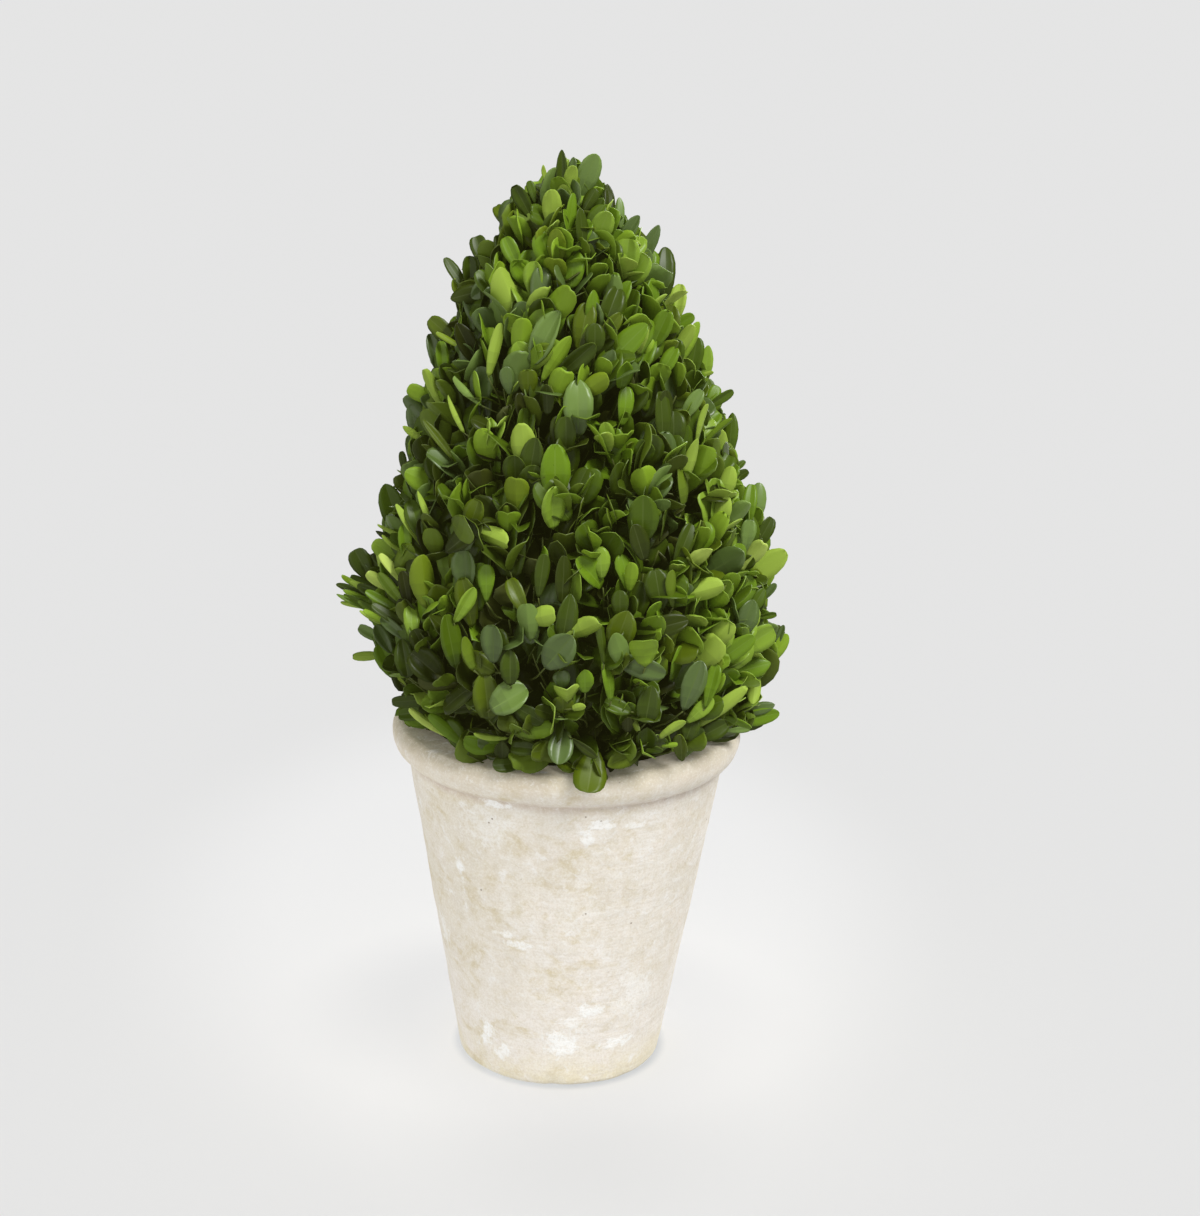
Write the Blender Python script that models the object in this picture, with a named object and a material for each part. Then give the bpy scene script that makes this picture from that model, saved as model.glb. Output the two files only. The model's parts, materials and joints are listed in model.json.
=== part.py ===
"""Boxwood cone topiary in a limewashed terracotta pot.

Row frame: metres, +Z up, origin at the centre of the pot's flat underside.
-Y is the front. The crown is a clipped, pointed egg of small leaves that is
widest a little above the pot's rim, overhangs it, and leans a few
millimetres towards -X at the top. It is cut into five tiers round a leaning
stem, which stands on the pot's packed fill.
"""

import math

import bmesh
import bpy
from mathutils import Vector, noise

# ---------------------------------------------------------------- sizes, m
POT_HEIGHT = 0.1590
POT_FOOT_R = 0.0456            # underside
POT_NECK_R = 0.0702            # body just under the rim band
POT_NECK_Z = 0.1425
POT_BAND_R = 0.0773            # widest, at the rim band
POT_MOUTH_R = 0.0600           # inside of the rim, which is a thick roll
POT_WALL = 0.0080
POT_FLOOR = 0.0100
POT_FOOT_ROUND = 0.0022
POT_SEGMENTS = 52

FILL_TOP_Z = 0.1462            # packed fill, a little below the rim
FILL_GAP = 0.0004
FILL_SEGMENTS = 40

STEM_FOOT_R = 0.0068
STEM_FLARE_R = 0.0105
STEM_TOP_R = 0.0026
STEM_TOP_Z = 0.3600
STEM_SEGMENTS = 12
STEM_RINGS = 15

CROWN_TOP_Z = 0.4062
CROWN_WIDE_R = 0.0925
CROWN_WIDE_Z = 0.2150
CROWN_HEM_R = 0.0795           # at the rim
CROWN_HEM_Z = 0.1600
CROWN_POWER = 0.58             # fullness of the cone above its widest ring
CROWN_SEGMENTS = 46
CROWN_AXIS_FOOT = 0.0035       # the crown's middle, at the rim and at the top
CROWN_AXIS_TOP = -0.0062
UNEVEN = 0.0078                # depth of the hollows between sprays
UNEVEN_SCALE = 0.021           # their spacing

TIER_GAP = 0.0005
TIER_CONE = 0.42               # each tier's top slopes down outwards by this
# outer edge of the cut between one tier and the next
TIER_EDGES = (0.2020, 0.2600, 0.3050, 0.3400)
TIER_NAMES = (
    "foliage_skirt",
    "foliage_lower",
    "foliage_middle",
    "foliage_upper",
    "foliage_tip",
)

# sprays that stand out of the clipped outline: azimuth in degrees from +X
# towards +Y, height, reach beyond the outline and half width, in metres
SPRAYS = (
    (181, 0.2165, 0.0085, 0.0125),
    (184, 0.1850, 0.0060, 0.0110),
    (2, 0.2270, 0.0040, 0.0120),
    (357, 0.1920, 0.0050, 0.0130),
    (354, 0.1660, 0.0090, 0.0135),
    (176, 0.2590, 0.0035, 0.0110),
    (186, 0.3300, 0.0045, 0.0110),
    (180, 0.3580, 0.0060, 0.0090),
    (92, 0.2120, 0.0050, 0.0120),
    (38, 0.2400, 0.0040, 0.0110),
    (128, 0.1860, 0.0060, 0.0110),
)
# sprays that hang over the rim: azimuth, drop below the rim, half width
DROOPS = (
    (286, 0.0195, 0.0105),
    (246, 0.0110, 0.0140),
    (303, 0.0080, 0.0100),
    (212, 0.0055, 0.0120),
    (60, 0.0100, 0.0110),
    (140, 0.0080, 0.0120),
)

MATERIALS = {
    # name: (colour, roughness)
    "limewashed_terracotta": ((0.70, 0.62, 0.53), 0.88),
    "packed_fill": ((0.055, 0.040, 0.026), 0.95),
    "bark": ((0.16, 0.115, 0.07), 0.85),
    "boxwood_leaf": ((0.055, 0.135, 0.018), 0.45),
}


# ----------------------------------------------------------------- helpers
def clear_scene():
    for obj in list(bpy.data.objects):
        bpy.data.objects.remove(obj, do_unlink=True)


def material(name):
    found = bpy.data.materials.get(name)
    if found:
        return found
    colour, roughness = MATERIALS[name]
    made = bpy.data.materials.new(name)
    made.use_nodes = True
    shader = made.node_tree.nodes["Principled BSDF"]
    shader.inputs["Base Color"].default_value = (*colour, 1.0)
    shader.inputs["Roughness"].default_value = roughness
    shader.inputs["Metallic"].default_value = 0.0
    return made


def add_object(name, bm, look, smooth_angle=40):
    bmesh.ops.recalc_face_normals(bm, faces=bm.faces)
    mesh = bpy.data.meshes.new(name)
    bm.to_mesh(mesh)
    bm.free()
    mesh.shade_smooth()
    mesh.set_sharp_from_angle(angle=math.radians(smooth_angle))
    mesh.materials.append(material(look))
    obj = bpy.data.objects.new(name, mesh)
    bpy.context.scene.collection.objects.link(obj)
    return obj


def skin_rings(bm, rings, closed_profile):
    """Joins rings of vertices, each ring being one station of the profile."""
    count = len(rings[0])
    pairs = list(zip(rings, rings[1:]))
    if closed_profile:
        pairs.append((rings[-1], rings[0]))
    for low, high in pairs:
        for i in range(count):
            j = (i + 1) % count
            bm.faces.new((low[i], low[j], high[j], high[i]))


def turned(name, profile, segments, look, smooth_angle=40):
    """A solid turned about Z from (radius, height) points, first and last on the axis."""
    bm = bmesh.new()
    rings = []
    for radius, z in profile[1:-1]:
        rings.append(
            [
                bm.verts.new(
                    (
                        radius * math.cos(math.tau * i / segments),
                        radius * math.sin(math.tau * i / segments),
                        z,
                    )
                )
                for i in range(segments)
            ]
        )
    skin_rings(bm, rings, False)
    for end, ring in ((profile[0], rings[0]), (profile[-1], rings[-1])):
        pole = bm.verts.new((0.0, 0.0, end[1]))
        for i in range(segments):
            bm.faces.new((pole, ring[i], ring[(i + 1) % segments]))
    return add_object(name, bm, look, smooth_angle)


def arc(centre_r, centre_z, radius, start, end, steps):
    """Points of an arc in the (radius, height) plane, angles in degrees."""
    points = []
    for i in range(steps + 1):
        a = math.radians(start + (end - start) * i / steps)
        points.append((centre_r + radius * math.cos(a), centre_z + radius * math.sin(a)))
    return points


def smooth(t):
    t = min(1.0, max(0.0, t))
    return t * t * (3 - 2 * t)


# --------------------------------------------------------------- the pot
def body_radius(z):
    """Outer radius of the pot's straight, tapering body."""
    return POT_FOOT_R + (POT_NECK_R - POT_FOOT_R) * z / POT_NECK_Z


def inner_radius(z):
    """Inner radius, parallel to the outside and meeting the mouth."""
    return min(body_radius(z) - POT_WALL * 1.02, POT_MOUTH_R)


def make_pot():
    outside = [(0.0, 0.0), (POT_FOOT_R - POT_FOOT_ROUND, 0.0)]
    outside += arc(
        body_radius(POT_FOOT_ROUND) - POT_FOOT_ROUND,
        POT_FOOT_ROUND,
        POT_FOOT_ROUND,
        -50,
        0,
        2,
    )
    for share in (0.35, 0.70):
        z = POT_FOOT_ROUND + (POT_NECK_Z - POT_FOOT_ROUND) * share
        outside.append((body_radius(z), z))
    outside.append((POT_NECK_R, POT_NECK_Z))
    # the rim band: a thick roll that swells out of a crease
    lip = POT_BAND_R - POT_NECK_R
    outside += [
        (POT_NECK_R + 0.22 * lip, POT_NECK_Z + 0.0012),
        (POT_NECK_R + 0.66 * lip, POT_NECK_Z + 0.0038),
        (POT_NECK_R + 0.93 * lip, POT_NECK_Z + 0.0072),
        (POT_BAND_R, POT_NECK_Z + 0.0100),
        (POT_BAND_R - 0.0003, POT_HEIGHT - 0.0032),
        (POT_BAND_R - 0.0016, POT_HEIGHT - 0.0010),
        (POT_BAND_R - 0.0038, POT_HEIGHT),
        (POT_MOUTH_R + 0.0024, POT_HEIGHT),
        (POT_MOUTH_R + 0.0006, POT_HEIGHT - 0.0008),
        (POT_MOUTH_R, POT_HEIGHT - 0.0030),
    ]
    inside = [
        (POT_MOUTH_R - 0.0008, POT_NECK_Z + 0.004),
        (inner_radius(POT_NECK_Z - 0.006), POT_NECK_Z - 0.006),
        (inner_radius(0.075), 0.075),
        (inner_radius(POT_FLOOR + 0.005), POT_FLOOR + 0.005),
        (inner_radius(POT_FLOOR) - 0.0045, POT_FLOOR),
        (0.0, POT_FLOOR),
    ]
    return turned("pot", outside + inside, POT_SEGMENTS, "limewashed_terracotta")


def make_fill():
    """Packed fill: a plug that follows the inside of the pot, with a low crown."""
    gap = FILL_GAP
    cos_half = math.cos(math.pi / POT_SEGMENTS)
    profile = [(0.0, POT_FLOOR + gap)]
    for z in (POT_FLOOR + gap, POT_FLOOR + 0.005, 0.075, POT_NECK_Z - 0.006):
        r = inner_radius(z) * cos_half - gap
        if z == POT_FLOOR + gap:
            r -= 0.0048
        profile.append((r, z))
    profile += [
        (inner_radius(POT_NECK_Z - 0.006) * cos_half - gap, POT_NECK_Z - 0.002),
        (inner_radius(POT_NECK_Z - 0.006) * cos_half - 0.006, FILL_TOP_Z - 0.0012),
        (0.030, FILL_TOP_Z),
        (0.0, FILL_TOP_Z),
    ]
    return turned("potting_fill", profile, FILL_SEGMENTS, "packed_fill")


# -------------------------------------------------------------- the crown
def crown_axis(z):
    """Middle of the crown and of the stem at a height."""
    share = (z - CROWN_HEM_Z) / (CROWN_TOP_Z - CROWN_HEM_Z)
    share = min(1.05, max(-0.1, share))
    x = CROWN_AXIS_FOOT + (CROWN_AXIS_TOP - CROWN_AXIS_FOOT) * share
    y = 0.0016 * math.sin(share * 3.1)
    return x, y


def crown_radius(z):
    """Radius of the clipped outline at a height."""
    if z >= CROWN_WIDE_Z:
        share = min(1.0, (z - CROWN_WIDE_Z) / (CROWN_TOP_Z - CROWN_WIDE_Z))
        return CROWN_WIDE_R * (1.0 - share) ** CROWN_POWER
    share = (CROWN_WIDE_Z - z) / (CROWN_WIDE_Z - CROWN_HEM_Z)
    return CROWN_WIDE_R - (CROWN_WIDE_R - CROWN_HEM_R) * share**1.5


def angle_apart(a, b):
    return (a - b + 180.0) % 360.0 - 180.0


def outline(azimuth, z):
    """Outer radius of the foliage at an azimuth in degrees, with its hollows and sprays."""
    base = crown_radius(z)
    a = math.radians(azimuth)
    spot = Vector((base * math.cos(a), base * math.sin(a), z)) / UNEVEN_SCALE
    rough = 0.42 + 0.95 * noise.noise(spot) + 0.40 * noise.noise(spot * 1.9 + Vector((7, 3, 1)))
    hollow = UNEVEN * min(1.0, max(0.0, rough)) * min(1.0, base / 0.030)
    reach = 0.0
    for where, height, extra, width in SPRAYS:
        across = math.radians(angle_apart(azimuth, where)) * base / width
        up = (z - height) / width
        if abs(across) < 3 and abs(up) < 3:
            reach += (extra + UNEVEN * 0.5) * math.exp(-(across**2) - up**2)
    return base - hollow + reach


def droop(azimuth):
    """How far the sprays at this azimuth hang below the rim."""
    most = 0.0
    for where, drop, width in DROOPS:
        across = math.radians(angle_apart(azimuth, where)) * POT_BAND_R / width
        if abs(across) < 3:
            most = max(most, drop * math.exp(-(across**4)))
    return most


def stem_radius(z):
    foot = FILL_TOP_Z
    share = (z - foot) / (STEM_TOP_Z - foot)
    straight = STEM_FOOT_R + (STEM_TOP_R - STEM_FOOT_R) * share
    flare = (STEM_FLARE_R - STEM_FOOT_R) * math.exp(-(z - foot) / 0.006)
    return straight + flare


def make_stem():
    bm = bmesh.new()
    foot = FILL_TOP_Z + 0.0003
    rings = []
    for k in range(STEM_RINGS):
        share = (k / (STEM_RINGS - 1)) ** 1.5
        z = foot + (STEM_TOP_Z - foot) * share
        x0, y0 = crown_axis(z)
        r = stem_radius(z)
        rings.append(
            [
                bm.verts.new(
                    (
                        x0 + r * math.cos(math.tau * i / STEM_SEGMENTS),
                        y0 + r * math.sin(math.tau * i / STEM_SEGMENTS),
                        z,
                    )
                )
                for i in range(STEM_SEGMENTS)
            ]
        )
    skin_rings(bm, rings, False)
    bm.faces.new(rings[0])
    bm.faces.new(rings[-1])
    return add_object("stem", bm, "bark")


def cut_height(edge, azimuth, share):
    """Height of the cut between two tiers. share is 0 at the stem and 1 at the outline."""
    a = math.radians(azimuth)
    wave = 0.0024 * math.sin(3 * a + 40 * edge) + 0.0016 * math.sin(5 * a + 90 * edge)
    return edge + TIER_CONE * crown_radius(edge) * (1 - share) ** 1.2 + wave * share


def hem_profile(azimuth):
    """Underside of the skirt, from the stem out and over the rim, as (radius, height)."""
    drop = droop(azimuth)
    hem = CROWN_HEM_Z + 0.0006
    return [
        (0.030, FILL_TOP_Z + 0.0012),
        (POT_MOUTH_R - 0.0060, POT_HEIGHT - 0.0085),
        (POT_MOUTH_R - 0.0022, hem),
        (POT_BAND_R + 0.0008, hem),
        (POT_BAND_R + 0.0012, hem - drop * 0.55 - 0.0002),
        (POT_BAND_R + 0.0030, hem - drop - 0.0004),
    ]


SHARES = (0.35, 0.70)           # rings across a cut, as a share of the way out
ROWS = (0.07, 0.22, 0.40, 0.58, 0.76, 0.92)   # rings up the outside of a tier
SHOULDER = 0.978                # the outline draws in where a tier meets the next


def cut_points(edge, azimuth, side):
    """The cut's section from the stem out to the outline, on its upper (+1) or lower (-1) side."""
    lift = side * TIER_GAP / 2
    middle = cut_height(edge, azimuth, 0.0)
    start = stem_radius(middle) + 0.0010
    rim = SHOULDER * outline(azimuth, cut_height(edge, azimuth, 1.0))
    points = []
    for share in (0.0, *SHARES, 1.0):
        points.append((start + (rim - start) * share, cut_height(edge, azimuth, share) + lift))
    return points


def tier_column(index, azimuth):
    """One tier's section at an azimuth, as (radius, height) from the bore's foot round to its top."""
    lowest, topmost = index == 0, index == len(TIER_NAMES) - 1
    points = []
    if lowest:
        z_in = FILL_TOP_Z + 0.0010
        points.append((stem_radius(z_in) + 0.0009, z_in))
        points += hem_profile(azimuth)
        z0 = CROWN_HEM_Z + 0.0022 - droop(azimuth) * 0.80
        points.append((max(outline(azimuth, z0), POT_BAND_R + 0.0048), z0))
    else:
        cut = cut_points(TIER_EDGES[index - 1], azimuth, +1)
        if topmost:
            points.append((0.0, cut[0][1]))      # closed over the end of the stem
        points += cut
        z0 = cut[-1][1]
    if topmost:
        z1 = CROWN_TOP_Z
    else:
        cut = cut_points(TIER_EDGES[index], azimuth, -1)
        z1 = cut[-1][1]
    for row in ROWS:
        z = z0 + (z1 - z0) * row
        r = outline(azimuth, z)
        if lowest:
            r = max(r, POT_BAND_R + 0.0048)
        points.append((r, z))
    if topmost:
        z = z0 + (z1 - z0) * 0.985
        points.append((max(outline(azimuth, z), 0.0030), z))
        points.append((0.0, CROWN_TOP_Z))
    else:
        points += reversed(cut)
    return points


def make_tier(index):
    topmost = index == len(TIER_NAMES) - 1
    columns = [
        tier_column(index, 360.0 * i / CROWN_SEGMENTS) for i in range(CROWN_SEGMENTS)
    ]
    stations = len(columns[0])
    bm = bmesh.new()
    rings = []
    for k in range(stations):
        if topmost and k in (0, stations - 1):
            z = columns[0][k][1]
            x0, y0 = crown_axis(z)
            rings.append([bm.verts.new((x0, y0, z))])
            continue
        ring = []
        for i in range(CROWN_SEGMENTS):
            r, z = columns[i][k]
            a = math.tau * i / CROWN_SEGMENTS
            x0, y0 = crown_axis(z)
            if index == 0 and r < POT_BAND_R + 0.004 and 1 <= k <= 6:
                x0, y0 = 0.0, 0.0      # the hem follows the pot, which stands straight
            ring.append(bm.verts.new((x0 + r * math.cos(a), y0 + r * math.sin(a), z)))
        rings.append(ring)
    if topmost:
        skin_rings(bm, rings[1:-1], False)
        for pole, ring in ((rings[0][0], rings[1]), (rings[-1][0], rings[-2])):
            for i in range(CROWN_SEGMENTS):
                bm.faces.new((pole, ring[i], ring[(i + 1) % CROWN_SEGMENTS]))
    else:
        skin_rings(bm, rings, True)
    return add_object(TIER_NAMES[index], bm, "boxwood_leaf", 60)


def main():
    clear_scene()
    make_pot()
    make_fill()
    make_stem()
    for index in range(len(TIER_NAMES)):
        make_tier(index)


main()
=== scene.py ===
"""Looks of the boxwood cone topiary.

Row frame: metres, +Z up, origin under the middle of the pot, -Y is the front.
Each foliage mass of the frame is replaced by boughs, twigs and leaves grown
from the stem, and the pot, the fill and the stem by finer meshes.
"""

import json
import math

import bpy
import numpy as np
from mathutils import Matrix, Vector, noise

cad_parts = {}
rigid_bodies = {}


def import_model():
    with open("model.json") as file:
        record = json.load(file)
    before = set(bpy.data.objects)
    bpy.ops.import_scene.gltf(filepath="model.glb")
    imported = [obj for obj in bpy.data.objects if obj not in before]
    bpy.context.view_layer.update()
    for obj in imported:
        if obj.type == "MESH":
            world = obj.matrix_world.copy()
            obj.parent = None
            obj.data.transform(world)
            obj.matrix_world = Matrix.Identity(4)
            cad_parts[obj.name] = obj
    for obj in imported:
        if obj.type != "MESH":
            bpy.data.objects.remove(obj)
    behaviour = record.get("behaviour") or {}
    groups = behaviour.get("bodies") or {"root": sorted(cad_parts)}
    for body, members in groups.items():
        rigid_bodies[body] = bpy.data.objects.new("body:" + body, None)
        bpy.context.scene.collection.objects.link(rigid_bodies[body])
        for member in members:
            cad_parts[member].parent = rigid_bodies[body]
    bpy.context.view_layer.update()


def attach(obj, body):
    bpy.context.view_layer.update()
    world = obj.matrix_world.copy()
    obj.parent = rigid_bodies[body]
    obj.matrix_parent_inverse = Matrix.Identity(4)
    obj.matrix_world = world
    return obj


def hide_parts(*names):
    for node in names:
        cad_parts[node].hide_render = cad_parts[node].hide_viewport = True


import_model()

# ------------------------------------------------------------ the frame's sizes
POT_HEIGHT = 0.1590
POT_FOOT_R = 0.0456
POT_NECK_R = 0.0702
POT_NECK_Z = 0.1425
POT_BAND_R = 0.0773
POT_MOUTH_R = 0.0600
POT_WALL = 0.0080
POT_FLOOR = 0.0100
POT_FOOT_ROUND = 0.0022
FILL_TOP_Z = 0.1462
STEM_FOOT_R = 0.0068
STEM_FLARE_R = 0.0105
STEM_TOP_R = 0.0026
STEM_TOP_Z = 0.3600
CROWN_TOP_Z = 0.4062
CROWN_WIDE_R = 0.0925
CROWN_WIDE_Z = 0.2150
CROWN_HEM_R = 0.0795
CROWN_HEM_Z = 0.1600
CROWN_POWER = 0.58
CROWN_AXIS_FOOT = 0.0035
CROWN_AXIS_TOP = -0.0062
TIER_EDGES = (0.2020, 0.2600, 0.3050, 0.3400)
TIER_CONE = 0.42
TIERS = ("skirt", "lower", "middle", "upper", "tip")

CAMERA_AT = Vector((0.01318, -1.00441, 0.52043))
CAMERA_DOWN = math.radians(17.206)
CAMERA_ROLL = math.radians(1.674)
CAMERA_LENS = 71.05
IMAGE_W, IMAGE_H = 1200, 1216
IMAGE_FOCAL = CAMERA_LENS / 36.0 * IMAGE_H      # in pixels

random = np.random.default_rng(20417)


# ------------------------------------------------------------------ small tools
def srgb(r, g, b):
    """Linear colour of an 8-bit display colour."""
    out = []
    for c in (r, g, b):
        c /= 255.0
        out.append(c / 12.92 if c <= 0.04045 else ((c + 0.055) / 1.055) ** 2.4)
    return tuple(out)


def unit(v):
    v = np.asarray(v, float)
    return v / max(1e-12, float(np.linalg.norm(v)))


def cells(p, size, shift=0.0):
    """Smooth noise from about -1 to 1 whose features are size metres wide."""
    return noise.noise(Vector((p[0] / size + shift, p[1] / size - shift, p[2] / size + 2 * shift)))


def crown_axis(z):
    share = (z - CROWN_HEM_Z) / (CROWN_TOP_Z - CROWN_HEM_Z)
    share = min(1.05, max(-0.1, share))
    x = CROWN_AXIS_FOOT + (CROWN_AXIS_TOP - CROWN_AXIS_FOOT) * share
    return x, 0.0016 * math.sin(share * 3.1)


def crown_radius(z):
    if z >= CROWN_WIDE_Z:
        share = min(1.0, (z - CROWN_WIDE_Z) / (CROWN_TOP_Z - CROWN_WIDE_Z))
        return CROWN_WIDE_R * (1.0 - share) ** CROWN_POWER
    share = (CROWN_WIDE_Z - z) / (CROWN_WIDE_Z - CROWN_HEM_Z)
    return CROWN_WIDE_R - (CROWN_WIDE_R - CROWN_HEM_R) * share**1.5


def depth_inside(p):
    """How far a point is inside the clipped outline, measured level. Negative outside."""
    x0, y0 = crown_axis(p[2])
    return crown_radius(min(p[2], CROWN_TOP_Z)) - math.hypot(p[0] - x0, p[1] - y0)


def pot_radius(z):
    """Outer radius of the pot at a height, with its rim band."""
    if z > POT_NECK_Z:
        return POT_BAND_R
    return POT_FOOT_R + (POT_NECK_R - POT_FOOT_R) * z / POT_NECK_Z


def tier_of(p):
    """Index of the foliage mass that a point belongs to."""
    x0, y0 = crown_axis(p[2])
    out = math.hypot(p[0] - x0, p[1] - y0)
    index = 0
    for edge in TIER_EDGES:
        rim = crown_radius(edge)
        if p[2] > edge + TIER_CONE * rim * (1 - min(1.0, out / rim)) ** 1.2:
            index += 1
    return index


# ------------------------------------------------------------------- materials
def node_tree(name):
    made = bpy.data.materials.new(name)
    made.use_nodes = True
    tree = made.node_tree
    return made, tree, tree.nodes["Principled BSDF"]


def plain(name, colour, roughness, specular=0.5, coat=0.0, coat_roughness=0.2):
    """A leaf or wood finish with one colour, for faces that are dealt it one by one."""
    made, tree, shader = node_tree(name)
    shader.inputs["Base Color"].default_value = (*colour, 1.0)
    shader.inputs["Roughness"].default_value = roughness
    shader.inputs["Specular IOR Level"].default_value = specular
    shader.inputs["Coat Weight"].default_value = coat
    shader.inputs["Coat Roughness"].default_value = coat_roughness
    return made


class Nodes:
    """Short names for building a node tree."""

    def __init__(self, tree):
        self.tree = tree
        self.nodes = tree.nodes
        self.links = tree.links
        self.place = self.nodes.new("ShaderNodeTexCoord").outputs["Object"]

    def new(self, kind, **settings):
        node = self.nodes.new(kind)
        for key, value in settings.items():
            setattr(node, key, value)
        return node

    def link(self, source, target):
        self.links.new(source, target)

    def scaled(self, scale, shift=(0, 0, 0)):
        mapping = self.new("ShaderNodeMapping")
        mapping.inputs["Scale"].default_value = scale
        mapping.inputs["Location"].default_value = shift
        self.link(self.place, mapping.inputs["Vector"])
        return mapping.outputs["Vector"]

    def noise(self, scale, detail=3.0, rough=0.55, distortion=0.0, vector=None):
        node = self.new("ShaderNodeTexNoise")
        node.inputs["Scale"].default_value = scale
        node.inputs["Detail"].default_value = detail
        node.inputs["Roughness"].default_value = rough
        node.inputs["Distortion"].default_value = distortion
        self.link(vector or self.place, node.inputs["Vector"])
        return node.outputs["Fac"]

    def voronoi(self, scale, vector=None, feature="F1", randomness=1.0):
        node = self.new("ShaderNodeTexVoronoi", feature=feature)
        node.inputs["Scale"].default_value = scale
        node.inputs["Randomness"].default_value = randomness
        self.link(vector or self.place, node.inputs["Vector"])
        return node.outputs["Distance"]

    def ramp(self, value, *stops, kind="LINEAR"):
        node = self.new("ShaderNodeValToRGB")
        ramp = node.color_ramp
        ramp.interpolation = kind
        while len(ramp.elements) < len(stops):
            ramp.elements.new(0.5)
        for element, (at, colour) in zip(ramp.elements, stops):
            element.position = at
            if not isinstance(colour, tuple):
                colour = (colour, colour, colour)
            element.color = (*colour, 1.0)
        self.link(value, node.inputs["Fac"])
        return node.outputs["Color"]

    def math(self, operation, a, b=None, clamp=False):
        node = self.new("ShaderNodeMath", operation=operation, use_clamp=clamp)
        for socket, value in zip(node.inputs, (a, b)):
            if value is None:
                continue
            if isinstance(value, (int, float)):
                socket.default_value = value
            else:
                self.link(value, socket)
        return node.outputs["Value"]

    def mix(self, share, a, b, blend="MIX"):
        node = self.new("ShaderNodeMix", data_type="RGBA", blend_type=blend)
        sockets = {s.identifier: s for s in node.inputs}
        for key, value in (("Factor_Float", share), ("A_Color", a), ("B_Color", b)):
            socket = sockets[key]
            if isinstance(value, tuple):
                socket.default_value = (*value, 1.0)
            elif isinstance(value, (int, float)):
                socket.default_value = value
            else:
                self.link(value, socket)
        return next(s for s in node.outputs if s.identifier == "Result_Color")

    def axis(self, letter):
        node = self.new("ShaderNodeSeparateXYZ")
        self.link(self.place, node.inputs["Vector"])
        return node.outputs[letter]

    def bump(self, height, strength, distance, normal=None):
        node = self.new("ShaderNodeBump")
        node.inputs["Strength"].default_value = strength
        node.inputs["Distance"].default_value = distance
        self.link(height, node.inputs["Height"])
        if normal is not None:
            self.link(normal, node.inputs["Normal"])
        return node.outputs["Normal"]


def spot_mask(n, centre, size, ragged, soft=0.25, stretch=(1, 1, 1)):
    """1 inside a ragged patch of the surface round a point, 0 outside."""
    moved = n.new("ShaderNodeVectorMath", operation="SUBTRACT")
    n.link(n.place, moved.inputs[0])
    moved.inputs[1].default_value = centre
    scaled = n.new("ShaderNodeVectorMath", operation="MULTIPLY")
    n.link(moved.outputs["Vector"], scaled.inputs[0])
    scaled.inputs[1].default_value = tuple(1.0 / (size * s) for s in stretch)
    length = n.new("ShaderNodeVectorMath", operation="LENGTH")
    n.link(scaled.outputs["Vector"], length.inputs[0])
    edge = n.math("ADD", length.outputs["Value"], n.math("MULTIPLY", n.math("SUBTRACT", ragged, 0.5), 2.6))
    return n.ramp(edge, (max(0.0, 0.8 - soft), 1.0), (0.8, 0.0))


def on_pot(azimuth, z):
    """A point on the pot's side at an azimuth in degrees from +X."""
    a = math.radians(azimuth)
    return (pot_radius(z) * math.cos(a), pot_radius(z) * math.sin(a), z)


# patches where the limewash is thick: azimuth, height, size in metres, stretch, strength
FLECKS = (
    (226.1, 0.1044, 0.0046, (0.75, 0.75, 1.9), 0.85),
    (283.3, 0.1350, 0.0068, (1.40, 1.40, 0.6), 0.80),
    (279.3, 0.1280, 0.0044, (0.90, 0.90, 1.5), 0.80),
    (296.7, 0.1322, 0.0048, (1.80, 1.80, 0.5), 0.60),
    (241.2, 0.1300, 0.0150, (1.15, 1.15, 0.9), 0.42),
    (245.5, 0.1412, 0.0050, (2.10, 2.10, 0.6), 0.85),
    (252.8, 0.0729, 0.0060, (1.90, 1.90, 0.45), 0.75),
    (246.1, 0.0772, 0.0046, (1.80, 1.80, 0.5), 0.65),
    (230.8, 0.0235, 0.0068, (0.80, 0.80, 1.6), 0.90),
    (239.5, 0.0140, 0.0058, (1.10, 1.10, 1.1), 0.80),
    (272.4, 0.0222, 0.0105, (1.00, 1.00, 1.1), 0.85),
    (277.0, 0.0335, 0.0070, (1.20, 1.20, 0.8), 0.60),
    (285.4, 0.0403, 0.0062, (1.30, 1.30, 0.8), 0.85),
    (301.9, 0.0205, 0.0070, (1.60, 1.60, 0.6), 0.85),
    (309.0, 0.0450, 0.0150, (1.00, 1.00, 1.3), 0.40),
    (203.0, 0.0640, 0.0085, (0.80, 0.80, 1.4), 0.55),
    (352.0, 0.1100, 0.0080, (1.00, 1.00, 1.3), 0.60),
    (30.0, 0.0400, 0.0110, (1.20, 1.20, 0.9), 0.75),
    (62.0, 0.1280, 0.0085, (1.50, 1.50, 0.6), 0.80),
    (88.0, 0.0600, 0.0090, (0.90, 0.90, 1.5), 0.70),
    (112.0, 0.1120, 0.0120, (1.20, 1.20, 0.9), 0.50),
    (140.0, 0.0260, 0.0105, (1.10, 1.10, 1.0), 0.85),
    (168.0, 0.0900, 0.0070, (0.90, 0.90, 1.6), 0.75),
)


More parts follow.
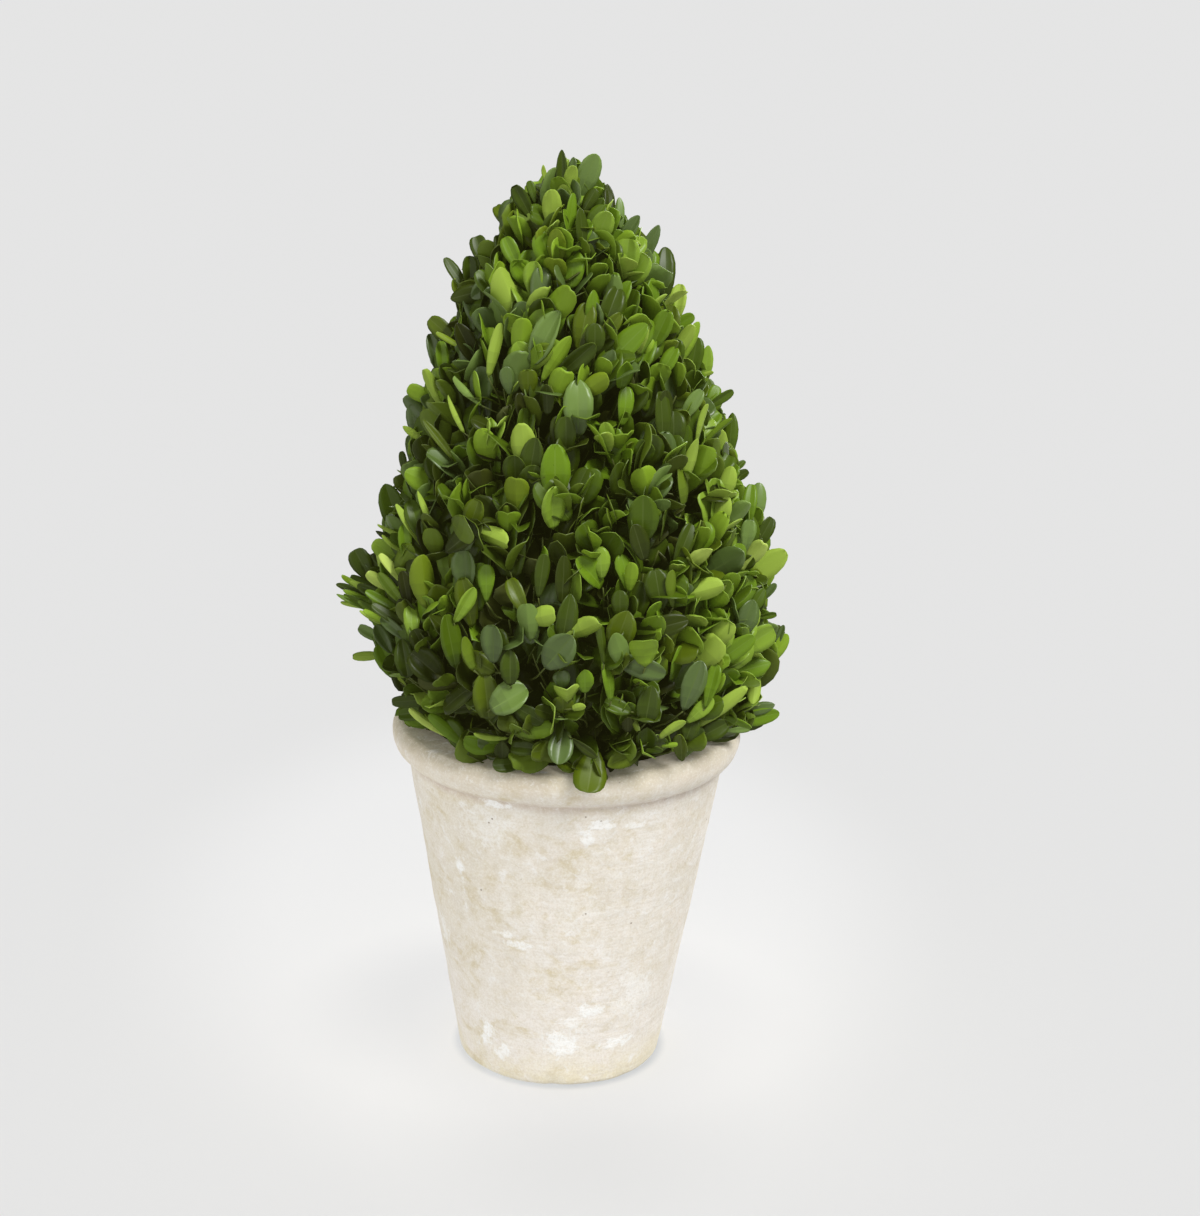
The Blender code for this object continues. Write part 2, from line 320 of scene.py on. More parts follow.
def pot_material():
    made, tree, shader = node_tree("limewashed_terracotta_finish")
    n = Nodes(tree)
    height = n.axis("Z")
    side = n.axis("X")
    ragged = n.noise(230.0, 5.0, 0.66)
    broad = n.noise(24.0, 4.0, 0.6, 0.4)
    patch = n.noise(70.0, 5.0, 0.62, 0.5)
    mottle = n.noise(190.0, 6.0, 0.70, 0.3)
    brush = n.noise(34.0, 4.0, 0.6, 0.2, n.scaled((1.0, 1.0, 12.0)))
    drip = n.noise(60.0, 3.0, 0.55, 0.2, n.scaled((1.0, 1.0, 0.14), (0.3, 0.1, 0.0)))
    grain = n.noise(1000.0, 3.0, 0.6)

    colour = n.ramp(
        broad,
        (0.34, srgb(229, 221, 206)),
        (0.50, srgb(233, 227, 215)),
        (0.66, srgb(238, 232, 223)),
    )
    colour = n.mix(n.ramp(patch, (0.46, 0.0), (0.64, 0.40)), colour, srgb(241, 232, 222))
    colour = n.mix(n.ramp(patch, (0.32, 0.42), (0.45, 0.0)), colour, srgb(218, 208, 191))
    colour = n.mix(n.ramp(mottle, (0.50, 0.0), (0.64, 0.62)), colour, srgb(243, 240, 234))
    colour = n.mix(n.ramp(mottle, (0.34, 0.60), (0.45, 0.0)), colour, srgb(213, 203, 180))
    colour = n.mix(n.ramp(brush, (0.30, 0.26), (0.45, 0.0)), colour, srgb(208, 196, 176))
    colour = n.mix(n.ramp(drip, (0.30, 0.26), (0.45, 0.0)), colour, srgb(206, 194, 174))
    # the left is yellower, and the lower third is whiter
    left = n.math("MULTIPLY", n.math("MULTIPLY", side, -15.0, clamp=True), n.ramp(patch, (0.38, 0.20), (0.62, 0.62)))
    colour = n.mix(left, colour, srgb(222, 214, 191))
    low = n.math("MULTIPLY", n.ramp(height, (0.020, 1.0), (0.085, 0.0)), n.ramp(patch, (0.36, 0.75), (0.62, 0.25)))
    colour = n.mix(low, colour, srgb(241, 235, 228))
    foot = n.math("MULTIPLY", n.ramp(height, (0.004, 1.0), (0.022, 0.0)), n.ramp(patch, (0.36, 0.15), (0.58, 0.80)))
    colour = n.mix(foot, colour, srgb(231, 221, 190))
    # ochre stains, most of them on the left, and level strokes of the brush on the right
    stain = n.noise(52.0, 6.0, 0.68, 0.8, n.scaled((1.0, 1.0, 1.5), (0.11, 0.07, 0.05)))
    ochre = n.math("MULTIPLY", n.ramp(stain, (0.48, 0.0), (0.62, 0.85)), n.ramp(side, (0.0, 1.0), (0.050, 0.25)))
    ochre = n.math("MULTIPLY", ochre, n.ramp(mottle, (0.36, 1.0), (0.58, 0.30)))
    colour = n.mix(ochre, colour, srgb(210, 196, 160))
    strokes = n.noise(46.0, 5.0, 0.7, 0.15, n.scaled((0.5, 0.5, 16.0), (0.2, 0.0, 0.0)))
    level = n.math("MULTIPLY", n.ramp(strokes, (0.40, 0.50), (0.52, 0.0)), n.ramp(side, (0.0, 0.30), (0.030, 0.80)))
    level = n.math("MULTIPLY", level, n.ramp(broad, (0.38, 0.35), (0.60, 1.0)))
    colour = n.mix(level, colour, srgb(214, 205, 188))
    # a brownish line with painted shade in the crease, painted shade from the leaves on the band, and a brown stain
    # with painted shade along its top
    # a brownish line with painted shade in the crease under the band
    crease = n.math("ABSOLUTE", n.math("SUBTRACT", height, POT_NECK_Z + 0.0004))
    crease = n.math("MULTIPLY", n.ramp(crease, (0.0, 1.0), (0.0022, 0.0)), n.ramp(patch, (0.36, 0.30), (0.60, 0.90)))
    colour = n.mix(crease, colour, srgb(196, 178, 162))
    # painted shade: the band darkens under the overhanging leaves
    band = n.math("MULTIPLY", n.ramp(n.math("SUBTRACT", height, POT_NECK_Z), (0.002, 0.0), (0.010, 1.0)), n.ramp(patch, (0.38, 0.10), (0.60, 0.60)))
    colour = n.mix(band, colour, srgb(214, 201, 180))
    # a brown stain with painted shade under the leaves along the top of the rim
    lip = n.math("MULTIPLY", n.ramp(height, (POT_HEIGHT - 0.0060, 0.0), (POT_HEIGHT - 0.0006, 1.0)), n.ramp(mottle, (0.38, 0.20), (0.58, 0.80)))
    colour = n.mix(lip, colour, srgb(180, 168, 136))
    # limewash left thick
    thin_white = n.ramp(n.noise(130.0, 6.0, 0.70, 0.6), (0.58, 0.0), (0.68, 0.70))
    colour = n.mix(thin_white, colour, srgb(244, 242, 238))
    white = None
    for azimuth, z, size, stretch, strength in FLECKS:
        mask = spot_mask(n, on_pot(azimuth, z), size, ragged, 0.42, stretch)
        mask = n.math("MULTIPLY", mask, min(1.0, strength * 1.08))
        white = mask if white is None else n.math("MAXIMUM", white, mask)
    broken = n.ramp(n.noise(620.0, 3.0, 0.6), (0.34, 0.55), (0.50, 1.0))
    white = n.math("MULTIPLY", white, broken)
    colour = n.mix(white, colour, srgb(250, 250, 247))
    # fine grain, pinholes and specks
    colour = n.mix(n.ramp(grain, (0.34, 0.34), (0.50, 0.0)), colour, srgb(212, 200, 182))
    colour = n.mix(n.ramp(grain, (0.52, 0.0), (0.66, 0.30)), colour, srgb(246, 243, 238))
    holes = n.voronoi(200.0)
    pick = n.noise(90.0, 2.0)
    pits = n.math("MULTIPLY", n.ramp(holes, (0.05, 1.0), (0.12, 0.0)), n.ramp(pick, (0.60, 0.0), (0.66, 0.85)))
    colour = n.mix(pits, colour, srgb(150, 134, 114))
    n.link(colour, shader.inputs["Base Color"])

    n.link(n.ramp(patch, (0.3, 0.82), (0.7, 0.94)), shader.inputs["Roughness"])
    shader.inputs["Specular IOR Level"].default_value = 0.25
    relief = n.math("MULTIPLY", patch, 0.8)
    relief = n.math("ADD", relief, n.math("MULTIPLY", mottle, 0.8))
    relief = n.math("ADD", relief, n.math("MULTIPLY", brush, 0.25))
    relief = n.math("ADD", relief, n.math("MULTIPLY", white, 0.20))
    relief = n.math("SUBTRACT", relief, n.math("MULTIPLY", pits, 0.6))
    normal = n.bump(relief, 0.6, 0.0009)
    normal = n.bump(grain, 0.4, 0.00022, normal)
    n.link(normal, shader.inputs["Normal"])
    return made


def fill_material():
    made, tree, shader = node_tree("packed_moss_finish")
    n = Nodes(tree)
    clumps = n.noise(180.0, 4.0, 0.6, 0.4)
    strands = n.voronoi(420.0)
    colour = n.ramp(clumps, (0.35, srgb(34, 27, 18)), (0.52, srgb(58, 48, 28)), (0.68, srgb(70, 70, 34)))
    colour = n.mix(n.ramp(strands, (0.1, 0.0), (0.5, 0.6)), colour, srgb(26, 22, 15))
    n.link(colour, shader.inputs["Base Color"])
    shader.inputs["Roughness"].default_value = 0.95
    shader.inputs["Specular IOR Level"].default_value = 0.2
    n.link(n.bump(n.math("ADD", clumps, n.math("MULTIPLY", strands, 0.5)), 0.8, 0.0016), shader.inputs["Normal"])
    return made


def bark_material():
    made, tree, shader = node_tree("bark_finish")
    n = Nodes(tree)
    long_grain = n.noise(320.0, 5.0, 0.62, 0.5, n.scaled((1.0, 1.0, 0.16)))
    spots = n.noise(140.0, 3.0)
    colour = n.ramp(long_grain, (0.34, srgb(58, 46, 34)), (0.52, srgb(104, 88, 66)), (0.68, srgb(146, 128, 100)))
    colour = n.mix(n.ramp(spots, (0.5, 0.0), (0.68, 0.5)), colour, srgb(92, 92, 60))
    n.link(colour, shader.inputs["Base Color"])
    shader.inputs["Roughness"].default_value = 0.86
    n.link(n.bump(long_grain, 0.8, 0.0008), shader.inputs["Normal"])
    return made


# tints dealt by spray: name, colour of the upper side, of the underside
TINTS = (
    ("deep", srgb(42, 52, 6), srgb(70, 84, 10)),
    ("dark", srgb(52, 67, 8), srgb(86, 106, 16)),
    ("mid", srgb(64, 84, 10), srgb(100, 127, 20)),
    ("fresh", srgb(90, 118, 20), srgb(119, 148, 32)),
    ("grey", srgb(72, 91, 40), srgb(92, 114, 50)),
    ("pale", srgb(114, 141, 42), srgb(136, 160, 56)),
    ("olive", srgb(72, 87, 8), srgb(104, 124, 20)),
    ("dusk", srgb(35, 40, 6), srgb(54, 60, 10)),
    ("soft", srgb(96, 119, 54), srgb(112, 137, 64)),
    # shade: the tint of the inner leaves, painted shade for the gaps deep in the crown
    ("shade", srgb(54, 59, 20), srgb(62, 68, 24)),
    ("lime", srgb(146, 168, 66), srgb(166, 186, 84)),
)
# the tint one step fresher, and one step older
FRESHER = {"deep": "dark", "dark": "mid", "mid": "fresh", "olive": "fresh", "fresh": "pale", "grey": "fresh"}
OLDER = {"deep": "dusk", "dark": "deep", "mid": "dark", "olive": "dark", "fresh": "mid", "grey": "dark", "pale": "fresh", "soft": "grey"}
TINT = {name: i for i, (name, top, under) in enumerate(TINTS)}


def toned(colour, by, towards=(0.36, 0.42, 0.14)):
    return tuple(c + (t - c) * by for c, t in zip(colour, towards))


# painted shade: each side of a blade darkens in these steps towards its stalk
PAINTED_STALK_SHADES = (1.0, 0.87, 0.72, 0.58)
FINISHES = 2 + 2 * len(PAINTED_STALK_SHADES)


def leaf_materials():
    """The finishes of each tint: midrib, margin, then the upper side and the underside.

    Both sides come in copies that darken a little towards the stalk: painted shade at the foot of each blade.
    """
    made = []
    for name, top, under in TINTS:
        gloss = {"grey": 0.38, "soft": 0.32, "dusk": 0.12, "deep": 0.14, "shade": 0.08}.get(name, 0.17)
        made.append(plain(f"leaf_{name}_rib", toned(top, 0.035), 0.46, 0.26))
        made.append(plain(f"leaf_{name}_margin", toned(tuple(0.35 * a + 0.65 * b for a, b in zip(top, under)), 0.07), 0.50, 0.28))
        for side, colour, rough, shine in (("top", top, 0.38, gloss), ("under", under, 0.58, 0.22)):
            for k, shade in enumerate(PAINTED_STALK_SHADES):
                made.append(plain(f"leaf_{name}_{side}_{k + 1}", tuple(c * shade for c in colour), rough, shine))
    return made


# ---------------------------------------------------------------- mesh helpers
def build_mesh(name, verts, faces, material_index, smooth, materials):
    """A mesh object from arrays. faces is a list of (count, corners) arrays of equal-sided faces."""
    mesh = bpy.data.meshes.new(name)
    mesh.vertices.add(len(verts))
    mesh.vertices.foreach_set("co", np.ascontiguousarray(verts, dtype=np.float32).ravel())
    loops = np.concatenate([f.ravel() for f in faces]).astype(np.int32)
    totals = np.concatenate([np.full(len(f), f.shape[1], np.int32) for f in faces])
    starts = np.concatenate(([0], np.cumsum(totals)[:-1])).astype(np.int32)
    mesh.loops.add(len(loops))
    mesh.loops.foreach_set("vertex_index", loops)
    mesh.polygons.add(len(totals))
    mesh.polygons.foreach_set("loop_start", starts)
    mesh.polygons.foreach_set("material_index", np.asarray(material_index, np.int32))
    mesh.polygons.foreach_set("use_smooth", np.asarray(smooth, bool))
    for m in materials:
        mesh.materials.append(m)
    mesh.update(calc_edges=True)
    mesh.validate()
    obj = bpy.data.objects.new(name, mesh)
    bpy.context.scene.collection.objects.link(obj)
    return obj


def ring_mesh(name, rings, material, closed_ends=True, smooth_angle=50):
    """A tube skinned over rings of points, with its ends closed to a point in their middle."""
    rings = np.asarray(rings, float)
    count, sides = rings.shape[:2]
    verts = rings.reshape(-1, 3)
    i, j = np.meshgrid(np.arange(count - 1), np.arange(sides), indexing="ij")
    a = i * sides + j
    b = i * sides + (j + 1) % sides
    quads = np.stack([a, b, b + sides, a + sides], axis=-1).reshape(-1, 4)
    faces = [quads]
    if closed_ends:
        verts = np.vstack([verts, rings[0].mean(0), rings[-1].mean(0)])
        low, high = count * sides, count * sides + 1
        k = np.arange(sides)
        faces.append(np.stack([np.full(sides, low), (k + 1) % sides, k], axis=-1))
        top = (count - 1) * sides
        faces.append(np.stack([np.full(sides, high), top + k, top + (k + 1) % sides], axis=-1))
    total = sum(len(f) for f in faces)
    obj = build_mesh(name, verts, faces, np.zeros(total), np.ones(total), [material])
    obj.data.set_sharp_from_angle(angle=math.radians(smooth_angle))
    return obj


def arc(centre_r, centre_z, radius, start, end, steps):
    return [
        (
            centre_r + radius * math.cos(math.radians(start + (end - start) * i / steps)),
            centre_z + radius * math.sin(math.radians(start + (end - start) * i / steps)),
        )
        for i in range(steps + 1)
    ]


def smooth_path(points, step):
    """Points along a Catmull-Rom curve through (radius, height) points, about step apart."""
    p = np.asarray(points, float)
    p = np.vstack([2 * p[0] - p[1], p, 2 * p[-1] - p[-2]])
    out = []
    for k in range(1, len(p) - 2):
        length = float(np.linalg.norm(p[k + 1] - p[k]))
        parts = max(1, int(round(length / step)))
        for i in range(parts):
            t = i / parts
            out.append(
                0.5
                * (
                    2 * p[k]
                    + (p[k + 1] - p[k - 1]) * t
                    + (2 * p[k - 1] - 5 * p[k] + 4 * p[k + 1] - p[k + 2]) * t * t
                    + (3 * p[k] - p[k - 1] - 3 * p[k + 1] + p[k + 2]) * t**3
                )
            )
    out.append(p[-2])
    return out


# ------------------------------------------------------------------- the pot
def body_radius(z):
    return POT_FOOT_R + (POT_NECK_R - POT_FOOT_R) * z / POT_NECK_Z


def pot_rows():
    """The pot's section from the middle of its underside, up the outside, over the rim and down inside."""
    rows = [(r, 0.0) for r in (0.010, 0.024, 0.036, POT_FOOT_R - POT_FOOT_ROUND)]
    rows += arc(body_radius(POT_FOOT_ROUND) - POT_FOOT_ROUND, POT_FOOT_ROUND, POT_FOOT_ROUND, -70, 0, 3)
    count = 84
    for i in range(1, count):
        z = POT_FOOT_ROUND + (POT_NECK_Z - 0.0010 - POT_FOOT_ROUND) * i / count
        rows.append((body_radius(z), z))
    lip = POT_BAND_R - POT_NECK_R
    band = [
        (POT_NECK_R - 0.0002, POT_NECK_Z - 0.0010),
        (POT_NECK_R + 0.0001, POT_NECK_Z + 0.0004),
        (POT_NECK_R + 0.36 * lip, POT_NECK_Z + 0.0020),
        (POT_NECK_R + 0.72 * lip, POT_NECK_Z + 0.0046),
        (POT_NECK_R + 0.94 * lip, POT_NECK_Z + 0.0080),
        (POT_BAND_R, POT_NECK_Z + 0.0112),
        (POT_BAND_R - 0.0006, POT_HEIGHT - 0.0028),
        (POT_BAND_R - 0.0022, POT_HEIGHT - 0.0007),
        (POT_BAND_R - 0.0044, POT_HEIGHT),
        (POT_MOUTH_R + 0.0030, POT_HEIGHT - 0.0001),
        (POT_MOUTH_R + 0.0008, POT_HEIGHT - 0.0012),
        (POT_MOUTH_R, POT_HEIGHT - 0.0036),
        (POT_MOUTH_R - 0.0008, POT_NECK_Z + 0.0040),
    ]
    rows += [tuple(p) for p in smooth_path(band, 0.0014)]
    for i in range(1, 13):
        z = POT_NECK_Z + 0.0040 - (POT_NECK_Z + 0.0040 - POT_FLOOR - 0.004) * i / 12
        rows.append((min(body_radius(z) - POT_WALL * 1.02, POT_MOUTH_R - 0.0008), z))
    inner = body_radius(POT_FLOOR) - POT_WALL * 1.02 - 0.0045
    rows += [(inner, POT_FLOOR + 0.0004), (inner * 0.6, POT_FLOOR), (inner * 0.2, POT_FLOOR)]
    return rows


def make_pot():
    sides = 260
    rows = np.array(pot_rows())
    # outward direction of the section at each row
    along = np.gradient(rows, axis=0)
    out = np.stack([along[:, 1], -along[:, 0]], axis=1)
    out /= np.maximum(np.linalg.norm(out, axis=1, keepdims=True), 1e-9)
    pits = [
        (np.array(on_pot(float(random.uniform(0, 360)), float(random.uniform(0.006, 0.155)))),
         float(random.uniform(0.0007, 0.0016)), float(random.uniform(0.0002, 0.00055)))
        for _ in range(150)
    ]
    # a chip at the foot, near the front
    pits.append((np.array(on_pot(268.0, 0.0012)), 0.0030, 0.0010))
    pits.append((np.array(on_pot(96.0, 0.0012)), 0.0036, 0.0010))
    rings = np.zeros((len(rows), sides, 3))
    for k, (r, z) in enumerate(rows):
        for j in range(sides):
            a = math.tau * j / sides
            c, s = math.cos(a), math.sin(a)
            p = (r * c, r * s, z)
            push = 0.00034 * cells(p, 0.030) + 0.00015 * cells(p, 0.009, 3.0)
            # turning lines run round the pot
            push += 0.00007 * noise.noise(Vector((c * 1.3, s * 1.3, z / 0.0022)))
            push += 0.00007 * cells(p, 0.0036, 7.0)
            if z > POT_NECK_Z + 0.002:
                push += 0.00030 * cells(p, 0.014, 5.0)
            if z <= 0.0:
                push = -abs(push) * 0.3
                rings[k, j] = (r * c, r * s, max(0.0, -push * 0.2))
                continue
            rr = r + out[k, 0] * push
            zz = z + out[k, 1] * push
            rings[k, j] = (rr * c, rr * s, max(0.0, zz))
    for centre, size, deep in pits:
        near = np.linalg.norm(rings - centre, axis=2)
        dent = deep * np.exp(-((near / size) ** 2))
        radial = rings.copy()
        radial[..., 2] = 0
        length = np.maximum(np.linalg.norm(radial, axis=2, keepdims=True), 1e-9)
        rings -= radial / length * dent[..., None]
    return ring_mesh("pot_limewashed", rings, pot_material(), True, 50)


def make_fill():
    """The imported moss: a plug inside the pot with a lumpy top."""
    sides = 120
    cos_half = math.cos(math.pi / 52)
    gap = 0.0006
    rows = []
    for z in (POT_FLOOR + 0.0010, POT_FLOOR + 0.006, 0.05, 0.09, 0.125, POT_NECK_Z - 0.004):
        r = min(body_radius(z) - POT_WALL * 1.02, POT_MOUTH_R) * cos_half - gap
        if z < POT_FLOOR + 0.002:
            r -= 0.005
        rows.append((r, z, 0.0))
    edge = rows[-1][0]
    for share in (0.985, 0.95, 0.90, 0.84, 0.77, 0.70, 0.62, 0.54, 0.46, 0.38, 0.30, 0.22, 0.12, 0.04):
        rise = FILL_TOP_Z - 0.0022 - 0.0030 * max(0.0, (share - 0.75) / 0.25) ** 2
        rows.append((edge * share, rise, 1.0))
    rings = np.zeros((len(rows), sides, 3))
    for k, (r, z, lumpy) in enumerate(rows):
        for j in range(sides):
            a = math.tau * j / sides
            p = (r * math.cos(a), r * math.sin(a), z)
            lift = lumpy * (0.0012 * cells(p, 0.007) + 0.0007 * cells(p, 0.0028, 4.0))
            rings[k, j] = (p[0], p[1], z + min(lift, 0.0020))
    flat = np.zeros((1, sides, 3))
    flat[0, :, 0] = 0.006 * np.cos(np.linspace(0, math.tau, sides, endpoint=False))
    flat[0, :, 1] = 0.006 * np.sin(np.linspace(0, math.tau, sides, endpoint=False))
    flat[0, :, 2] = rows[0][1]
    return ring_mesh("potting_moss", np.vstack([flat, rings]), fill_material(), True, 60)


def stem_radius(z):
    share = (z - FILL_TOP_Z) / (STEM_TOP_Z - FILL_TOP_Z)
    straight = STEM_FOOT_R + (STEM_TOP_R - STEM_FOOT_R) * share
    return straight + (STEM_FLARE_R - STEM_FOOT_R) * math.exp(-(z - FILL_TOP_Z) / 0.006)


def make_stem():
    sides, count = 28, 90
    rings = np.zeros((count, sides, 3))
    for k in range(count):
        z = FILL_TOP_Z - 0.0012 + (STEM_TOP_Z - FILL_TOP_Z + 0.0012) * (k / (count - 1)) ** 1.3
        x0, y0 = crown_axis(z)
        for j in range(sides):
            a = math.tau * j / sides
            ridge = noise.noise(Vector((2.6 * math.cos(a), 2.6 * math.sin(a), z / 0.020)))
            fine = noise.noise(Vector((7.0 * math.cos(a), 7.0 * math.sin(a), z / 0.007)))
            r = stem_radius(max(z, FILL_TOP_Z)) * (0.97 + 0.11 * ridge + 0.05 * fine)
            rings[k, j] = (x0 + r * math.cos(a), y0 + r * math.sin(a), z)
    return ring_mesh("stem_bark", rings, bark_material(), True, 70)


# ------------------------------------------------------------- boughs and twigs
class Wood:
    """Collects tapering tubes and joins them into one mesh."""

    def __init__(self):
        self.verts, self.quads, self.tris, self.kind_q, self.kind_t, self.total = [], [], [], [], [], 0

    def tube(self, path, radii, sides, kind=0):
        path = np.asarray(path, float)
        count = len(path)
        tangent = np.gradient(path, axis=0)
        tangent /= np.maximum(np.linalg.norm(tangent, axis=1, keepdims=True), 1e-9)
        side = np.cross(tangent[0], (0.31, 0.83, 0.46))
        rows = []
        for k in range(count):
            side = side - tangent[k] * np.dot(side, tangent[k])
            side = unit(side)
            other = np.cross(tangent[k], side)
            a = np.arange(sides) * math.tau / sides
            rows.append(path[k] + radii[k] * (np.cos(a)[:, None] * side + np.sin(a)[:, None] * other))
        verts = np.vstack(rows + [path[0][None], path[-1][None]])
        i, j = np.meshgrid(np.arange(count - 1), np.arange(sides), indexing="ij")
        a = i * sides + j
        b = i * sides + (j + 1) % sides
        quads = np.stack([a, b, b + sides, a + sides], axis=-1).reshape(-1, 4) + self.total
        k = np.arange(sides)
        low, high, top = count * sides, count * sides + 1, (count - 1) * sides
        tris = np.vstack([
            np.stack([np.full(sides, low), (k + 1) % sides, k], axis=-1),
            np.stack([np.full(sides, high), top + k, top + (k + 1) % sides], axis=-1),
        ]) + self.total
        self.verts.append(verts)
        self.quads.append(quads)
        self.tris.append(tris)
        self.kind_q.append(np.full(len(quads), kind))
        self.kind_t.append(np.full(len(tris), kind))
        self.total += len(verts)

    def build(self, name, materials):
        faces = [np.vstack(self.quads), np.vstack(self.tris)]
        kinds = np.concatenate(self.kind_q + self.kind_t)
        return build_mesh(name, np.vstack(self.verts), faces, kinds, np.ones(len(kinds)), materials)


def bezier(a, b, c, d, count):
    t = np.linspace(0, 1, count)[:, None]
    return (1 - t) ** 3 * a + 3 * (1 - t) ** 2 * t * b + 3 * (1 - t) * t * t * c + t**3 * d


def grow_boughs():
    """Boughs leave the stem in a spiral and curve outwards and up. Returns their paths."""
    boughs = []
    count = 58
    for i in range(count):
        share = (i + 0.5) / count
        z = 0.1530 + (0.3520 - 0.1530) * share**0.92
        azimuth = math.radians(137.508 * i) + float(random.normal(0, 0.12))
        x0, y0 = crown_axis(z)
        out = np.array([math.cos(azimuth), math.sin(azimuth), 0.0])
        rise = float(np.interp(z, (0.15, 0.20, 0.28, 0.35), (0.05, 0.30, 0.85, 1.6)))
        reach = 0.60 * crown_radius(min(0.395, z + 0.012 + 0.02 * share)) + float(random.normal(0, 0.003))
        start = np.array([x0, y0, z]) + out * stem_radius(z) * 0.6
        end = np.array([x0, y0, z]) + out * reach + np.array([0, 0, rise * reach * 0.75])
        end[2] = min(end[2], 0.388)
        middle = start + out * reach * 0.45 + np.array([0, 0, -0.002])
        lead = end - unit(out * 0.6 + np.array([0, 0, 0.8])) * reach * 0.3
        path = bezier(start, middle, lead, end, 11)
        for k in range(1, 11):
            path[k] += 0.0016 * np.array([cells(path[k], 0.02, s) for s in (1.0, 5.0, 9.0)])
        thick = 0.0025 - 0.0010 * share
        boughs.append((path, np.linspace(thick, 0.0009, 11)))
    return boughs


# ----------------------------------------------------------------- the leaves
class Leaves:
    """Collects leaves, then shapes them all at once."""

    FIELDS = (
        "origin", "tip", "face", "length", "width", "base", "blunt", "cup", "fold",
        "bend", "twist", "notch", "wave", "tint", "tier", "grade",
    )

    def __init__(self):
        self.rows = {key: [] for key in self.FIELDS}

    def add(self, **values):
        for key in self.FIELDS:
            self.rows[key].append(values[key])

    def arrays(self):
        return {key: np.asarray(value, float) for key, value in self.rows.items()}


# stations along the blade, and columns across it, from the finest grade to the plainest
GRADES = (
    ((0.0, 0.09, 0.27, 0.47, 0.66, 0.82, 0.925, 0.98, 1.0), (-1.0, -0.55, -0.05, 0.05, 0.55, 1.0)),
    ((0.0, 0.13, 0.38, 0.62, 0.83, 0.96, 1.0), (-1.0, -0.5, 0.0, 0.5, 1.0)),
    ((0.0, 0.28, 0.64, 0.91, 1.0), (-1.0, 0.0, 1.0)),
)


def blade_faces(grade):
    """Corner indices of one blade's faces, grouped as quads and triangles.

    Each has its finish, counted as leaf_materials makes them.
    """
    stations, columns = GRADES[grade]
    rows = len(stations) - 2
    cu = cl = len(columns)
    top_base, top_tip = 0, 1 + rows * cu
    low_base = top_tip + 1
    low_tip = low_base + 1 + rows * cl
    quads, qk, tris, tk = [], [], [], []

    def at_top(row, col):
        return 1 + row * cu + col

    def at_low(row, col):
        return low_base + 1 + row * cl + col

    def finish(span, col=None):
        along = (stations[span] + stations[span + 1]) / 2
        # painted shade: faces nearer the stalk take the darker finishes
        shade = 3 if along < 0.16 else 2 if along < 0.34 else 1 if along < 0.52 else 0
        if col is None:
            return 2 + len(PAINTED_STALK_SHADES) + shade
        return 0 if grade == 0 and col == 2 else 2 + shade

    for c in range(cu - 1):
        for r in range(rows - 1):
            quads.append((at_top(r, c), at_top(r, c + 1), at_top(r + 1, c + 1), at_top(r + 1, c)))
            qk.append(finish(r + 1, c))
        tris.append((top_base, at_top(0, c + 1), at_top(0, c)))
        tk.append(finish(0, c))
        tris.append((top_tip, at_top(rows - 1, c), at_top(rows - 1, c + 1)))
        tk.append(2)
    for c in range(cl - 1):
        for r in range(rows - 1):
            quads.append((at_low(r, c), at_low(r + 1, c), at_low(r + 1, c + 1), at_low(r, c + 1)))
            qk.append(finish(r + 1))
        tris.append((low_base, at_low(0, c), at_low(0, c + 1)))
        tk.append(finish(0))
        tris.append((low_tip, at_low(rows - 1, c + 1), at_low(rows - 1, c)))
        tk.append(2 + len(PAINTED_STALK_SHADES))
    # the thin margin joins the two sides all the way round
    ring_top = [top_base] + [at_top(r, cu - 1) for r in range(rows)] + [top_tip] + [at_top(r, 0) for r in reversed(range(rows))]
    ring_low = [low_base] + [at_low(r, cl - 1) for r in range(rows)] + [low_tip] + [at_low(r, 0) for r in reversed(range(rows))]
    for k in range(len(ring_top)):
        m = (k + 1) % len(ring_top)
        quads.append((ring_top[k], ring_low[k], ring_low[m], ring_top[m]))
        qk.append(1)
    return np.array(quads), np.array(qk), np.array(tris), np.array(tk), low_tip + 1


